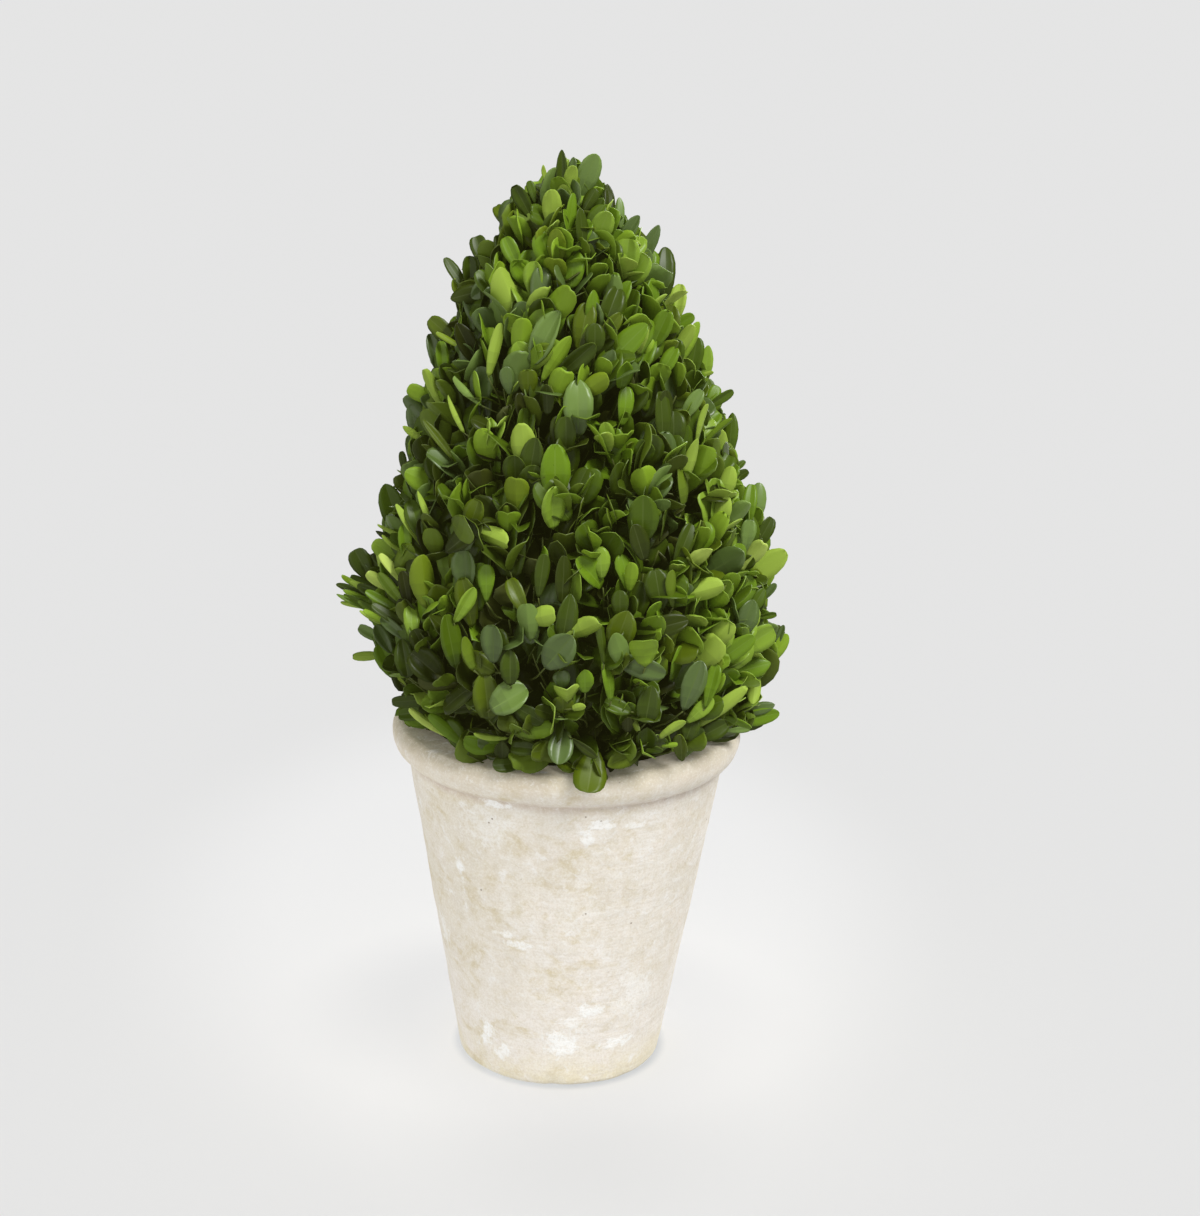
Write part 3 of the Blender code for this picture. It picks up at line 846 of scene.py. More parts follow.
def blade_points(d, grade):
    """World positions of every point of the leaves in d, as (leaf, point, xyz)."""
    stations, columns = GRADES[grade]
    t_in = np.array(stations[1:-1])

    def column(name):
        return d[name][:, None]

    def shaped(t, v, under):
        # outline: tapers to the stalk, widest past the middle, round at the tip
        base, blunt = column("base"), column("blunt")
        peak = base / (base + blunt)
        top = peak**base * (1 - peak) ** blunt
        tt = np.clip(t, 1e-6, 1 - 1e-6)
        half = 0.5 * column("width") * tt**base * (1 - tt) ** blunt / top
        half = np.where((t <= 0) | (t >= 1), 0.0, half)
        half = half + 0.0002 * (t < 0.2) * (t > 0)
        x = v * half
        length = column("length")
        y = t * length * np.ones_like(x)
        # an emarginate tip, pulled back in the middle
        y = y - np.where(t >= 1, column("notch") * length, 0.0)
        edge = np.abs(v)
        z = column("cup") * half * edge**2
        z = z + column("fold") * np.abs(x)
        z = z + column("wave") * half * edge * np.sin(t * 9.0 + column("twist") * 7.0 + v * 1.5)
        along_rib = (edge < 0.3) * np.sin(np.pi * np.clip(t, 0, 1)) ** 0.5
        if under:
            z = z - (0.00036 - 0.00012 * edge) - 0.00020 * along_rib
        else:
            z = z - 0.00009 * along_rib
        # twist about the midrib, then bend along it
        turn = column("twist") * t
        x, z = x * np.cos(turn) + z * np.sin(turn), -x * np.sin(turn) + z * np.cos(turn)
        bend = column("bend")
        bend = np.where(np.abs(bend) < 1e-3, 1e-3, bend)
        curve = length / bend
        angle = bend * (y / length)
        yy = curve * np.sin(angle) + z * np.sin(angle)
        zz = -curve * (1 - np.cos(angle)) + z * np.cos(angle)
        return np.stack([x, yy, zz], axis=-1)

    t = np.repeat(t_in, len(columns))[None, :]
    v = np.tile(np.array(columns), len(t_in))[None, :]
    zero, one = np.zeros((1, 1)), np.ones((1, 1))
    parts = []
    for under in (False, True):
        parts += [shaped(zero, zero, under), shaped(t, v, under), shaped(one, zero, under)]
    local = np.concatenate(parts, axis=1)
    along = d["tip"]
    face = d["face"] - along * (d["face"] * along).sum(1, keepdims=True)
    face = face / np.maximum(np.linalg.norm(face, axis=1, keepdims=True), 1e-9)
    across = np.cross(along, face)
    return (
        d["origin"][:, None, :]
        + local[..., 0:1] * across[:, None, :]
        + local[..., 1:2] * along[:, None, :]
        + local[..., 2:3] * face[:, None, :]
    )


def build_leaves(name, d, materials):
    """One joined mesh of the leaves in d."""
    verts, quads, tris, qk, tk = [], [], [], [], []
    base = 0
    for grade in range(3):
        pick = d["grade"] == grade
        if not pick.any():
            continue
        part = {key: value[pick] for key, value in d.items()}
        points = blade_points(part, grade)
        fq, kq, ft, kt, count = blade_faces(grade)
        leaves = len(points)
        shift = base + np.arange(leaves)[:, None, None] * count
        first = part["tint"].astype(int)[:, None] * FINISHES
        verts.append(points.reshape(-1, 3))
        quads.append((fq[None] + shift).reshape(-1, 4))
        tris.append((ft[None] + shift).reshape(-1, 3))
        qk.append((first + kq[None]).ravel())
        tk.append((first + kt[None]).ravel())
        base += leaves * count
    quads, tris = np.vstack(quads), np.vstack(tris)
    kinds = np.concatenate([np.concatenate(qk), np.concatenate(tk)])
    smooth = kinds % FINISHES != 1
    obj = build_mesh(name, np.vstack(verts), [quads, tris], kinds, smooth, materials)
    return obj


def leaf_shape(size=1.0):
    """Random proportions of one leaf, size 1 being full grown."""
    length = float(np.clip(random.normal(0.0190, 0.0018), 0.0150, 0.0230)) * size
    ratio = float(np.clip(random.normal(0.57, 0.085), 0.40, 0.80))
    if size < 0.7:
        ratio *= 0.9
    # some blades are broadest at the middle and come to more of a point
    pointed = random.random() < 0.38
    return {
        "length": length,
        "width": length * ratio,
        "base": float(np.clip(random.normal(0.74, 0.10), 0.55, 1.05)),
        "blunt": float(np.clip(random.normal(0.60 if pointed else 0.43, 0.05), 0.34, 0.75)),
        "cup": float(random.normal(0.0, 0.18)),
        "fold": float(abs(random.normal(0.16, 0.20))),
        "bend": float(random.normal(0.22, 0.42)),
        "twist": float(random.normal(0.0, 0.26)),
        "notch": float(max(0.0, random.normal(-0.005, 0.020))),
        "wave": float(abs(random.normal(0.0, 0.07))),
    }


def lift_at(z):
    """How steeply sprays rise at a height, in degrees: nearly level at the hem, upright above."""
    return float(np.interp(
        z,
        (0.160, 0.168, 0.178, 0.195, 0.220, 0.260, 0.310, 0.355, 0.395),
        (-6.0, 10.0, 28.0, 46.0, 60.0, 69.0, 75.0, 80.0, 88.0),
    ))


def spray_direction(p, spread=1.0):
    """Which way a spray grows at a place on the outline, and the level direction outwards."""
    x0, y0 = crown_axis(p[2])
    azimuth = math.atan2(p[1] - y0, p[0] - x0)
    level = np.array([math.cos(azimuth), math.sin(azimuth), 0.0])
    lift = lift_at(p[2])
    lift += spread * (24.0 * cells(p, 0.026, 2.0) + float(random.normal(0, 8)))
    azimuth += math.radians(spread * (60.0 * cells(p, 0.028, 11.0) + float(random.normal(0, 14))))
    lift = math.radians(min(100.0, lift))
    direction = np.array([
        math.cos(azimuth) * math.cos(lift),
        math.sin(azimuth) * math.cos(lift),
        math.sin(lift),
    ])
    return direction, level


def spray_tint(p):
    """Sprays near each other tend to share a tint. The top and the right side are dealt paler tints: partly fresher
    growth, partly painted light where the key falls.
    """
    patch = 1.2 * cells(p, 0.030, 21.0) + float(random.normal(0, 0.46))
    # partly painted light: the top and the right side, where the key light falls, lean to paler tints
    patch += 0.30 * min(1.0, max(0.0, (p[2] - 0.30) / 0.08)) + 0.25 * min(1.0, max(-1.0, p[0] / 0.06))
    names = ("deep", "dark", "mid", "olive", "mid", "fresh", "pale")
    edges = (-0.62, -0.24, 0.02, 0.16, 0.44, 0.86)
    name = names[int(np.searchsorted(edges, patch))]
    if random.random() < 0.15:
        name = "grey"
    return name


def leaf_tint(name, pair):
    """A spray's own tint, fresher on its youngest leaves and older down the shoot."""
    chance = random.random()
    if pair == 0 and chance < 0.50 or pair == 1 and chance < 0.22:
        name = FRESHER.get(name, name)
    elif pair >= 2 and chance < 0.16 + 0.14 * (pair - 2):
        name = OLDER.get(name, name)
    return TINT[name]


NODES_DOWN = (0.0, 0.0040, 0.0095, 0.0160, 0.0235, 0.0310)
NODE_SIZE = (0.82, 0.96, 1.04, 1.04, 0.98, 0.92)
NODE_ANGLE = (10.0, 19.0, 27.0, 34.0, 40.0, 46.0)


def grow_spray(leaves, apex, direction, level, pairs, tint, tier, inner=False, size=1.0):
    """Opposite pairs of leaves down one shoot, each pair turned a quarter from the last.

    The shoot comes from inside and curves upwards to its apex. Returns its line from below.
    """
    turn = float(random.uniform(0, math.tau))
    light = unit(level * 0.88 + np.array([0.0, 0.0, 0.48]))
    steep = math.asin(max(-1.0, min(1.0, direction[2])))
    opening = 1.18 - 0.42 * max(0.0, steep) / (math.pi / 2)
    node, past, heading = apex.copy(), 0.0, direction.copy()
    line = []
    for k in range(pairs):
        step = NODES_DOWN[k] * size - past
        past += step
        node = node - heading * step
        heading = unit(heading + level * math.radians(1.5) * step * 1000)
        if k:
            line.append(node.copy())
        side = unit(np.cross(heading, (0.12, 0.21, 0.97)) + 1e-6)
        other = np.cross(heading, side)
        turn += math.pi / 2 + float(random.normal(0, 0.20))
        for half in (0, 1):
            a = turn + math.pi * half + float(random.normal(0, 0.12))
            out = math.cos(a) * side + math.sin(a) * other
            open_angle = math.radians(NODE_ANGLE[k] * opening + float(random.normal(0, 7.5)))
            tip = unit(math.cos(open_angle) * heading + math.sin(open_angle) * out)
            face = unit(math.sin(open_angle) * heading - math.cos(open_angle) * out)
            # many blades turn on their stalk to show the light their upper side
            to_light = light - tip * np.dot(light, tip)
            if np.dot(face, to_light) > -0.25 and random.random() < 0.48:
                face = unit(face + to_light * float(random.uniform(0.2, 1.4)))
            roll = float(random.normal(0, 0.26))
            face = unit(math.cos(roll) * face + math.sin(roll) * np.cross(tip, face))
            shape = leaf_shape(NODE_SIZE[k] * size * float(random.uniform(0.88, 1.10)))
            leaves.add(origin=node + out * 0.0005, tip=tip, face=face, tint=leaf_tint(tint, k), tier=tier,
                       grade=2 if inner else -1, **shape)
    return line[::-1], heading


def grow_crown(covered):
    """Sprays all over the crown, with the twigs and boughs that carry them.

    covered(point) says whether a spray's apex would stand in front of a leaf of the FRONT list.
    """
    leaves = Leaves()
    wood = [Wood() for _ in TIERS]
    boughs = grow_boughs()
    bough_points = np.vstack([path[2:] for path, radii in boughs])

    def join(line, heading, tier, thick=0.00055):
        """The twig from the nearest bough to a shoot's foot, and on up the shoot."""
        foot = line[0] - heading * 0.004
        gap = bough_points - foot
        cost = np.linalg.norm(gap, axis=1) + 0.9 * np.maximum(0.0, gap[:, 2] + 0.004)
        start = bough_points[int(np.argmin(cost))]
        reach = float(np.linalg.norm(foot - start))
        lead = foot - heading * reach * 0.4
        path = np.vstack([
            bezier(start, start + (foot - start) * 0.3 + np.array([0, 0, 0.1 * reach]), lead, foot, 5),
            np.asarray(line),
        ])
        radii = np.linspace(thick * 1.5, thick * 0.62, len(path))
        wood[tier].tube(path, radii, 4, 1)

    golden = math.pi * (3 - math.sqrt(5))
    heights = np.linspace(0.1640, 0.4010, 400)
    area = np.cumsum([crown_radius(z) + 0.006 for z in heights])
    area = (area - area[0]) / (area[-1] - area[0])
    layers = (
        # sprays, depth under the outline, pairs of leaves, inner
        (450, 0.0068, 5, False),
        (280, 0.0220, 4, True),
        (180, 0.0360, 4, True),
    )
    for layer, (count, deep, pairs, inner) in enumerate(layers):
        for i in range(count):
            share = (i + 0.5) / count
            z = float(np.interp(share, area, heights)) + float(random.normal(0, 0.0020))
            azimuth = i * golden + layer * 1.3 + float(random.normal(0, 0.05))
            r = crown_radius(min(z, 0.403))
            p = np.array([r * math.cos(azimuth), r * math.sin(azimuth), z])
            p[:2] += crown_axis(z)
            direction, level = spray_direction(p)
            outward = unit(level + np.array([0, 0, 0.2 + 1.2 * max(0.0, (z - 0.26) / 0.14)]))
            sink = deep + abs(float(random.normal(0, 0.0040))) + 0.0030 * cells(p, 0.018, 33.0)
            if r < 0.03:
                sink *= 0.75
            apex = p - outward * sink
            if covered(apex):
                apex = apex - outward * 0.006
            tier = tier_of(apex)
            # painted shade: inner leaves take the dark deep and shade tints, which darken the gaps deep in the crown
            tint = spray_tint(p) if not inner else ("deep" if random.random() < 0.35 else "shade")
            line, heading = grow_spray(leaves, apex, direction, level, pairs, tint, tier, inner)
            join(line, heading, tier)
    return leaves, wood, boughs, join


def to_image(points):
    """Pixel x, pixel y and distance of points seen by the camera."""
    turned = (points - np.array(CAMERA_AT)) @ np.array(CAMERA_TURN)
    depth = -turned[..., 2]
    return (
        IMAGE_W / 2 + IMAGE_FOCAL * turned[..., 0] / depth,
        IMAGE_H / 2 - IMAGE_FOCAL * turned[..., 1] / depth,
        depth,
    )


CAMERA_MATRIX = (
    Matrix.Translation(CAMERA_AT)
    @ Matrix.Rotation(math.radians(90) - CAMERA_DOWN, 4, "X")
    @ Matrix.Rotation(CAMERA_ROLL, 4, "Z")
)
CAMERA_TURN = CAMERA_MATRIX.to_3x3()


def pixel_ray(x, y):
    d = Vector(((x - IMAGE_W / 2) / IMAGE_FOCAL, -(y - IMAGE_H / 2) / IMAGE_FOCAL, -1.0))
    return np.array(CAMERA_TURN @ d)


def outline_hit(x, y, lift):
    """Where the camera's ray through a pixel meets the clipped outline swollen by lift."""
    ray = pixel_ray(x, y)
    start = np.array(CAMERA_AT)
    best, best_gap = None, 1e9
    for s in np.arange(0.84, 1.16, 0.0008):
        p = start + ray * s
        if p[2] > CROWN_TOP_Z + 0.004 or p[2] < 0.120:
            continue
        z = max(p[2], 0.160)
        x0, y0 = crown_axis(z)
        gap = math.hypot(p[0] - x0, p[1] - y0) - (crown_radius(min(z, CROWN_TOP_Z - 0.002)) + lift)
        if gap < 0:
            return p
        if gap < best_gap:
            best, best_gap = p, gap
    return best


# Leaves that stand out at the front: pixel of the blade's middle, the way its tip
# points (degrees clockwise from up), its length and width in pixels, which side
# shows, how far the tip leans to the viewer, roll about the midrib, lift
FRONT = (
    (352, 590, -68, 34, 8, "top", 0, 20, 2),
    (357, 595, -66, 30, 6, "under", 0, 30, 2),
    (350, 600, -62, 30, 6, "top", 0, 20, 3),
    (366, 584, -62, 36, 9, "top", 0, 15, 1),
    (373, 592, -62, 36, 11, "top", 0, 10, 1),
    (363, 604, -62, 40, 7, "top", 0, 15, 3),
    (375, 610, -62, 40, 9, "top", 0, 10, 2),
    (381, 600, -60, 36, 10, "top", 0, 10, 1),
    (387, 614, -56, 36, 13, "top", 0, 10, 1),
    (372, 618, -65, 30, 6, "under", 0, 20, 3),
    (392, 627, -52, 34, 12, "top", 0, 0, 1),
    (389, 586, -38, 34, 12, "top", 0, 0, 0),
    (552, 206, -3, 35, 20, "under", 10, 0, 1),
    (572, 216, 14, 46, 11, "top", 5, 30, 2),
    (582, 227, -5, 37, 14, "top", 5, 25, 1),
    (602, 227, 25, 34, 23, "top", 15, 0, 1),
    (667, 266, 5, 44, 20, "top", 5, 10, 2),
    (511, 251, -25, 30, 17, "top", 8, 0, 1),
    (509, 293, -20, 53, 33, "under", 12, 8, 3),
    (540, 286, 8, 38, 21, "top", 10, 0, 1),
    (563, 303, 56, 49, 28, "under", 15, -10, 2),
    (612, 306, 22, 39, 23, "top", 12, 5, 1),
    (584, 323, 12, 39, 23, "top", 12, 0, 1),
    (595, 338, 0, 26, 21, "top", 20, 0, 2),
    (548, 334, 30, 49, 26, "top", 12, 5, 2),
    (522, 336, 5, 40, 22, "under", 10, 0, 1),
    (558, 354, 32, 45, 16, "under", 10, 20, 1),
    (578, 358, 50, 46, 20, "top", 15, 10, 1),
    (628, 342, 45, 50, 26, "top", 12, -8, 2),
    (465, 340, -27, 38, 20, "top", 5, 0, 2),
    (560, 384, 30, 33, 24, "under", 18, 0, 2),
    (528, 382, 0, 24, 20, "top", 20, 0, 0),
    (596, 384, 60, 32, 20, "under", 15, 10, 1),
    (578, 404, 0, 46, 31, "top", 16, 0, 3),
    (691, 340, 25, 40, 12, "under", 0, 25, 2),
    (669, 360, 30, 30, 16, "top", 5, 0, 1),
    (693, 403, 35, 32, 15, "top", 5, 0, 2),
    (664, 408, 5, 36, 18, "top", 8, 0, 1),
    (495, 345, 12, 46, 11, "under", 5, 30, 1),
    (566, 433, 0, 28, 22, "top", 25, 0, 1),
    (523, 440, -5, 36, 26, "under", 12, 0, 2),
    (555, 468, 0, 45, 31, "top", 15, 0, 3),
    (533, 455, 10, 36, 24, "top", 12, 5, 1),
    (421, 480, -70, 38, 24, "under", 0, 10, 2),
    (515, 468, 0, 28, 24, "top", 18, 0, 0),
    (516, 490, 0, 27, 26, "under", 22, 0, 2),
    (474, 514, 20, 28, 22, "top", 18, 0, 1),
    (508, 521, 0, 19, 26, "under", 30, 0, 3),
    (496, 538, 110, 34, 20, "under", 10, 15, 2),
    (423, 576, -5, 46, 26, "under", 8, 10, 2),
    (465, 568, 0, 32, 25, "top", 18, 0, 1),
    (486, 581, 0, 30, 18, "top", 15, 0, 1),
    (564, 576, 5, 40, 17, "top", 10, 20, 1),
    (542, 572, 8, 37, 14, "top", 8, 25, 2),
    (517, 594, -20, 34, 17, "top", 10, 10, 1),
    (544, 616, 80, 26, 22, "under", 20, 0, 1),
    (567, 614, 10, 38, 22, "top", 12, 0, 1),
    (586, 627, 65, 36, 20, "under", 12, 10, 1),
    (622, 628, 20, 32, 30, "top", 20, 0, 2),
    (450, 637, -10, 46, 24, "top", 10, 10, 2),
    (561, 649, 40, 36, 33, "top", 18, 0, 3),
    (493, 641, 0, 32, 24, "top", 18, 0, 1),
    (466, 602, 30, 34, 14, "top", 5, 30, 1),
    (663, 415, 0, 46, 18, "top", 8, 20, 2),
    (674, 428, 0, 30, 25, "top", 18, 0, 1),
    (643, 514, 0, 38, 32, "top", 16, 0, 3),
    (646, 481, -20, 30, 28, "under", 20, 12, 1),
    (691, 455, 10, 38, 13, "under", 5, 25, 2),
    (703, 462, 15, 34, 24, "under", 10, 0, 0),
    (710, 451, 5, 38, 20, "under", 8, 10, 1),
    (728, 480, 15, 28, 18, "under", 10, 0, 2),
    (736, 514, 35, 40, 18, "under", 5, 15, 2),
    (686, 543, 25, 40, 18, "top", 8, 10, 1),
    (696, 556, 38, 44, 15, "under", 5, 25, 2),
    (701, 591, 75, 46, 22, "under", 8, 8, 2),
    (766, 566, 55, 52, 26, "under", 0, 0, 2),
    (729, 561, 60, 38, 30, "top", 12, 0, 1),
    (658, 587, -10, 34, 28, "top", 18, 0, 1),
    (671, 585, -5, 32, 11, "under", 8, 35, 2),
    (670, 625, 75, 36, 22, "top", 10, 0, 1),
    (643, 640, -5, 38, 30, "under", 0, 0, 4),
    (620, 604, 0, 24, 18, "top", 20, 0, 1),
    (591, 553, 0, 14, 20, "under", 50, 0, 1),
    (759, 639, 60, 36, 26, "top", 0, 10, 2),
    (604, 639, 0, 36, 9, "top", 5, 35, 2),
    (475, 661, -60, 32, 22, "top", 12, 0, 1),
    (466, 650, -20, 30, 12, "under", 5, 30, 2),
    (510, 666, 0, 28, 20, "top", 18, 0, 1),
    (424, 664, -50, 32, 30, "top", 14, 0, 2),
    (508, 722, -80, 28, 20, "under", 12, 10, 2),
    (538, 730, 80, 30, 20, "under", 10, 0, 1),
    (502, 750, 0, 16, 16, "top", 30, 0, 1),
    (524, 747, -80, 28, 17, "top", 10, 10, 2),
    (507, 764, -95, 28, 18, "top", 10, 10, 2),
    (560, 750, 190, 30, 26, "top", 14, 0, 1),
    (590, 776, 190, 40, 34, "top", 10, 0, 4),
    (567, 693, 0, 16, 26, "under", 40, 0, 2),
    (585, 681, 0, 22, 18, "top", 25, 0, 1),
    (562, 681, 0, 14, 18, "top", 35, 0, 0),
    (563, 706, 0, 14, 22, "top", 35, 0, 0),
    (649, 703, 10, 30, 24, "top", 20, 0, 2),
    (640, 667, 110, 52, 22, "top", 8, 10, 2),
    (611, 676, 0, 36, 12, "top", 12, 30, 1),
    (617, 707, -70, 26, 18, "top", 12, 0, 1),
    (727, 704, 52, 54, 14, "under", 4, 20, 3),
    (735, 650, 55, 48, 18, "top", 4, 15, 1),
    (780, 647, 30, 30, 14, "under", 0, 15, 2),
    (647, 738, 0, 18, 22, "top", 35, 0, 2),
    (562, 170, 0, 40, 12, "top", 5, 0, 2),
    (588, 174, 24, 42, 23, "top", 12, 8, 2),
    (570, 178, 8, 30, 14, "under", 5, 10, 3),
    (573, 165, 5, 16, 8, "top", 5, 0, 1),
    (543, 177, -38, 24, 5, "under", 0, 40, 1),
    (532, 191, -15, 22, 9, "top", 0, 10, 1),
    (522, 200, -29, 34, 16, "top", 4, 0, 2),
    (501, 213, -32, 27, 14, "top", 0, 0, 1),
    (501, 230, 8, 46, 6, "under", 0, 45, 1),
    (590, 199, 30, 24, 14, "top", 5, 0, 0),
    (596, 215, 40, 26, 16, "top", 8, 0, 1),
    (611, 198, 5, 34, 12, "top", 4, 20, 2),
    (621, 210, 0, 27, 9, "top", 0, 20, 1),
    (631, 228, 35, 30, 14, "top", 4, 10, 2),
    (650, 243, 29, 40, 14, "top", 4, 15, 2),
    (678, 300, 10, 34, 18, "top", 4, 0, 1),
    (672, 295, 37, 38, 8, "under", 0, 30, 2),
    (662, 326, 25, 36, 21, "top", 8, 0, 2),
    (683, 322, 60, 26, 13, "top", 0, 0, 1),
    (684, 340, 30, 36, 14, "under", 4, 10, 0),
    (707, 361, 5, 32, 13, "top", 0, 0, 1),
    (707, 374, 75, 15, 5, "under", 0, 0, 2),
    (694, 356, 10, 38, 19, "top", 5, 0, 0),
    (713, 396, 25, 25, 13, "top", 0, 0, 1),
    (722, 398, 56, 27, 10, "top", 0, 0, 0),
    (700, 420, 8, 36, 6, "under", 0, 40, 2),
    (731, 432, 5, 40, 15, "top", 0, 0, 1),
    (717, 428, 40, 36, 6, "under", 0, 38, 2),
    (739, 466, 50, 17, 7, "top", 0, 0, 0),
    (740, 476, 60, 20, 10, "top", 0, 0, 1),
    (750, 500, 8, 36, 15, "top", 0, 0, 3),
    (757, 500, 10, 37, 20, "top", 0, 0, 0),
    (765, 532, 30, 33, 15, "top", 0, 10, 2),
    (748, 533, 10, 27, 16, "top", 0, 0, 1),
    (755, 553, 40, 32, 18, "under", 4, 0, 1),
    (480, 249, -18, 28, 18, "top", 4, 0, 2),
    (455, 271, -29, 36, 12, "top", 0, 20, 2),
    (456, 287, -20, 19, 9, "under", 0, 20, 2),
    (468, 294, -105, 36, 19, "top", 4, 0, 2),
    (470, 271, 0, 30, 16, "top", 4, 10, 0),
    (440, 328, -48, 30, 19, "top", 0, 0, 1),
    (434, 350, -15, 36, 15, "top", 0, 0, 1),
    (442, 357, -5, 32, 13, "top", 4, 0, 3),
    (450, 340, -57, 32, 6, "under", 0, 35, 3),
    (433, 390, -30, 48, 11, "under", 0, 15, 2),
    (420, 394, -62, 28, 16, "under", 0, 0, 0),
    (416, 408, -45, 36, 15, "top", 0, 0, 1),
    (413, 419, -10, 30, 14, "top", 0, 0, 2),
    (437, 437, -37, 44, 9, "top", 0, 20, 2),
    (411, 433, -60, 24, 8, "under", 0, 10, 3),
    (454, 411, -25, 34, 6, "under", 0, 35, 2),
    (463, 390, -50, 34, 8, "under", 0, 25, 2),
    (403, 462, -10, 24, 8, "top", 0, 0, 0),
    (391, 502, -18, 38, 26, "top", 4, 0, 1),
    (406, 522, -33, 42, 8, "under", 0, 25, 3),
    (414, 514, -15, 33, 20, "top", 4, 0, 2),
    (423, 506, -25, 32, 6, "under", 0, 35, 3),
    (390, 529, -60, 27, 5, "under", 0, 35, 2),
    (388, 537, -55, 29, 7, "top", 0, 20, 2),
    (390, 545, -62, 27, 5, "under", 0, 35, 3),
    (386, 551, -55, 32, 18, "top", 0, 0, 1),
    (405, 540, -5, 31, 14, "top", 4, 0, 2),
    (361, 562, -28, 28, 22, "top", 0, 0, 0),
    (370, 563, -40, 27, 14, "top", 0, 10, 2),
    (391, 567, -39, 36, 9, "under", 0, 25, 3),
    (378, 581, -58, 30, 12, "under", 0, 10, 2),
    (355, 588, -80, 42, 6, "under", 0, 30, 2),
    (369, 590, -65, 46, 9, "under", 0, 20, 1),
    (364, 602, -67, 46, 9, "top", 0, 15, 2),
    (358, 604, -75, 36, 5, "under", 0, 30, 3),
    (376, 619, -67, 32, 6, "under", 0, 30, 2),
    (370, 633, -60, 27, 12, "top", 0, 0, 2),
    (382, 637, -30, 27, 16, "top", 0, 0, 1),
    (366, 656, -93, 28, 10, "under", 0, 0, 0),
    (387, 659, -25, 34, 24, "top", 4, 0, 1),
    (404, 655, -10, 33, 20, "top", 4, 0, 2),
    (405, 586, -10, 31, 13, "top", 4, 0, 1),
    (411, 618, -5, 37, 17, "top", 6, 0, 1),
    (769, 592, 40, 22, 8, "top", 0, 0, 1),
    (758, 600, 30, 27, 14, "top", 0, 0, 1),
    (748, 615, 20, 32, 23, "top", 4, 0, 2),
    (768, 616, 80, 18, 7, "top", 0, 0, 2),
    (765, 633, 60, 32, 18, "under", 0, 0, 1),
    (780, 635, 20, 22, 7, "top", 0, 0, 0),
    (753, 668, 75, 38, 22, "top", 4, 0, 1),
    (694, 682, 20, 44, 24, "top", 8, 0, 1),
    (411, 701, -93, 40, 13, "top", 0, 0, 2),
    (415, 713, -97, 36, 16, "top", 0, 0, 1),
    (426, 724, -63, 50, 8, "under", 0, 30, 3),
    (446, 728, -48, 44, 13, "top", 0, 20, 3),
    (456, 735, -32, 34, 20, "top", 4, 0, 2),
    (455, 695, -118, 48, 22, "top", -5, 22, 4),
    (463, 707, -100, 28, 12, "top", 0, 0, 1),
    (486, 693, -6, 38, 28, "top", 14, 0, 2),
    (511, 698, 60, 34, 33, "top", 12, 0, 3),
    (483, 733, -86, 32, 7, "top", 0, 30, 1),
    (487, 738, -90, 30, 6, "under", 0, 35, 2),
    (545, 712, -70, 24, 16, "top", 8, 0, 1),
    (531, 716, 120, 27, 18, "top", 8, 0, 0),
    (580, 706, 70, 15, 8, "under", 0, 20, 2),
    (636, 724, 150, 18, 6, "under", 0, 20, 2),
    (628, 724, 0, 15, 13, "top", 20, 0, 1),
    (650, 749, 100, 27, 11, "top", 0, 0, 1),
    (622, 759, 245, 32, 20, "top", 4, 0, 2),
    (586, 750, 128, 27, 9, "top", 0, 20, 2),
    (674, 726, 50, 28, 9, "under", 0, 25, 2),
    (691, 727, 20, 26, 18, "top", 8, 0, 1),
    (702, 709, 48, 30, 15, "top", 6, 0, 2),
    (670, 745, 80, 16, 5, "under", 0, 20, 2),
    (714, 730, 62, 32, 19, "top", 0, 0, 1),
    (760, 717, 78, 40, 17, "top", 0, 0, 1),
    (762, 708, 75, 27, 13, "top", 0, 0, 3),
    (738, 722, 110, 30, 8, "top", 0, 15, 1),
    (738, 730, 85, 26, 7, "top", 0, 0, 1),
    (754, 691, 188, 27, 14, "under", 0, 0, 1),
    (712, 683, 15, 38, 15, "top", 4, 0, 1),
)

# Hollows between the sprays at the front, where the view runs deep: pixel of the
# middle, turn of the long axis (degrees clockwise from up), half its length and width
HOLLOWS = (
    (495, 386, 5, 34, 11), (458, 408, -16, 38, 7), (446, 429, 0, 11, 10), (547, 416, 35, 19, 8),
    (499, 460, 65, 22, 7), (585, 454, 90, 11, 7), (616, 386, 60, 12, 6), (606, 410, -30, 18, 8),
    (638, 418, 10, 26, 8), (683, 389, 15, 20, 8), (696, 501, 0, 24, 8), (672, 545, 15, 26, 10),
    (653, 547, 0, 16, 7), (725, 564, 60, 16, 10), (446, 548, 0, 24, 8), (444, 580, 0, 14, 6),
    (489, 605, 15, 26, 12), (478, 628, 80, 14, 6), (514, 572, 70, 18, 9), (534, 590, -35, 18, 7),
    (551, 575, 10, 26, 6), (540, 524, 20, 22, 7), (560, 525, 50, 20, 5), (513, 622, 10, 16, 14),
    (533, 672, -30, 36, 12), (497, 666, -35, 18, 11), (559, 661, 0, 11, 6), (545, 636, 60, 10, 5),
    (430, 669, 0, 11, 8), (450, 675, 0, 10, 6), (476, 720, 90, 20, 9), (593, 733, 100, 27, 17),
    (626, 686, 90, 12, 9), (671, 683, 0, 15, 9), (676, 709, 60, 20, 8), (685, 617, 10, 19, 6),
    (607, 582, 55, 24, 7), (592, 650, -10, 16, 5), (598, 674, -15, 14, 6), (647, 601, 25, 14, 6),
    (395, 597, 0, 12, 6), (395, 629, -20, 10, 6), (402, 661, 0, 10, 4),
)


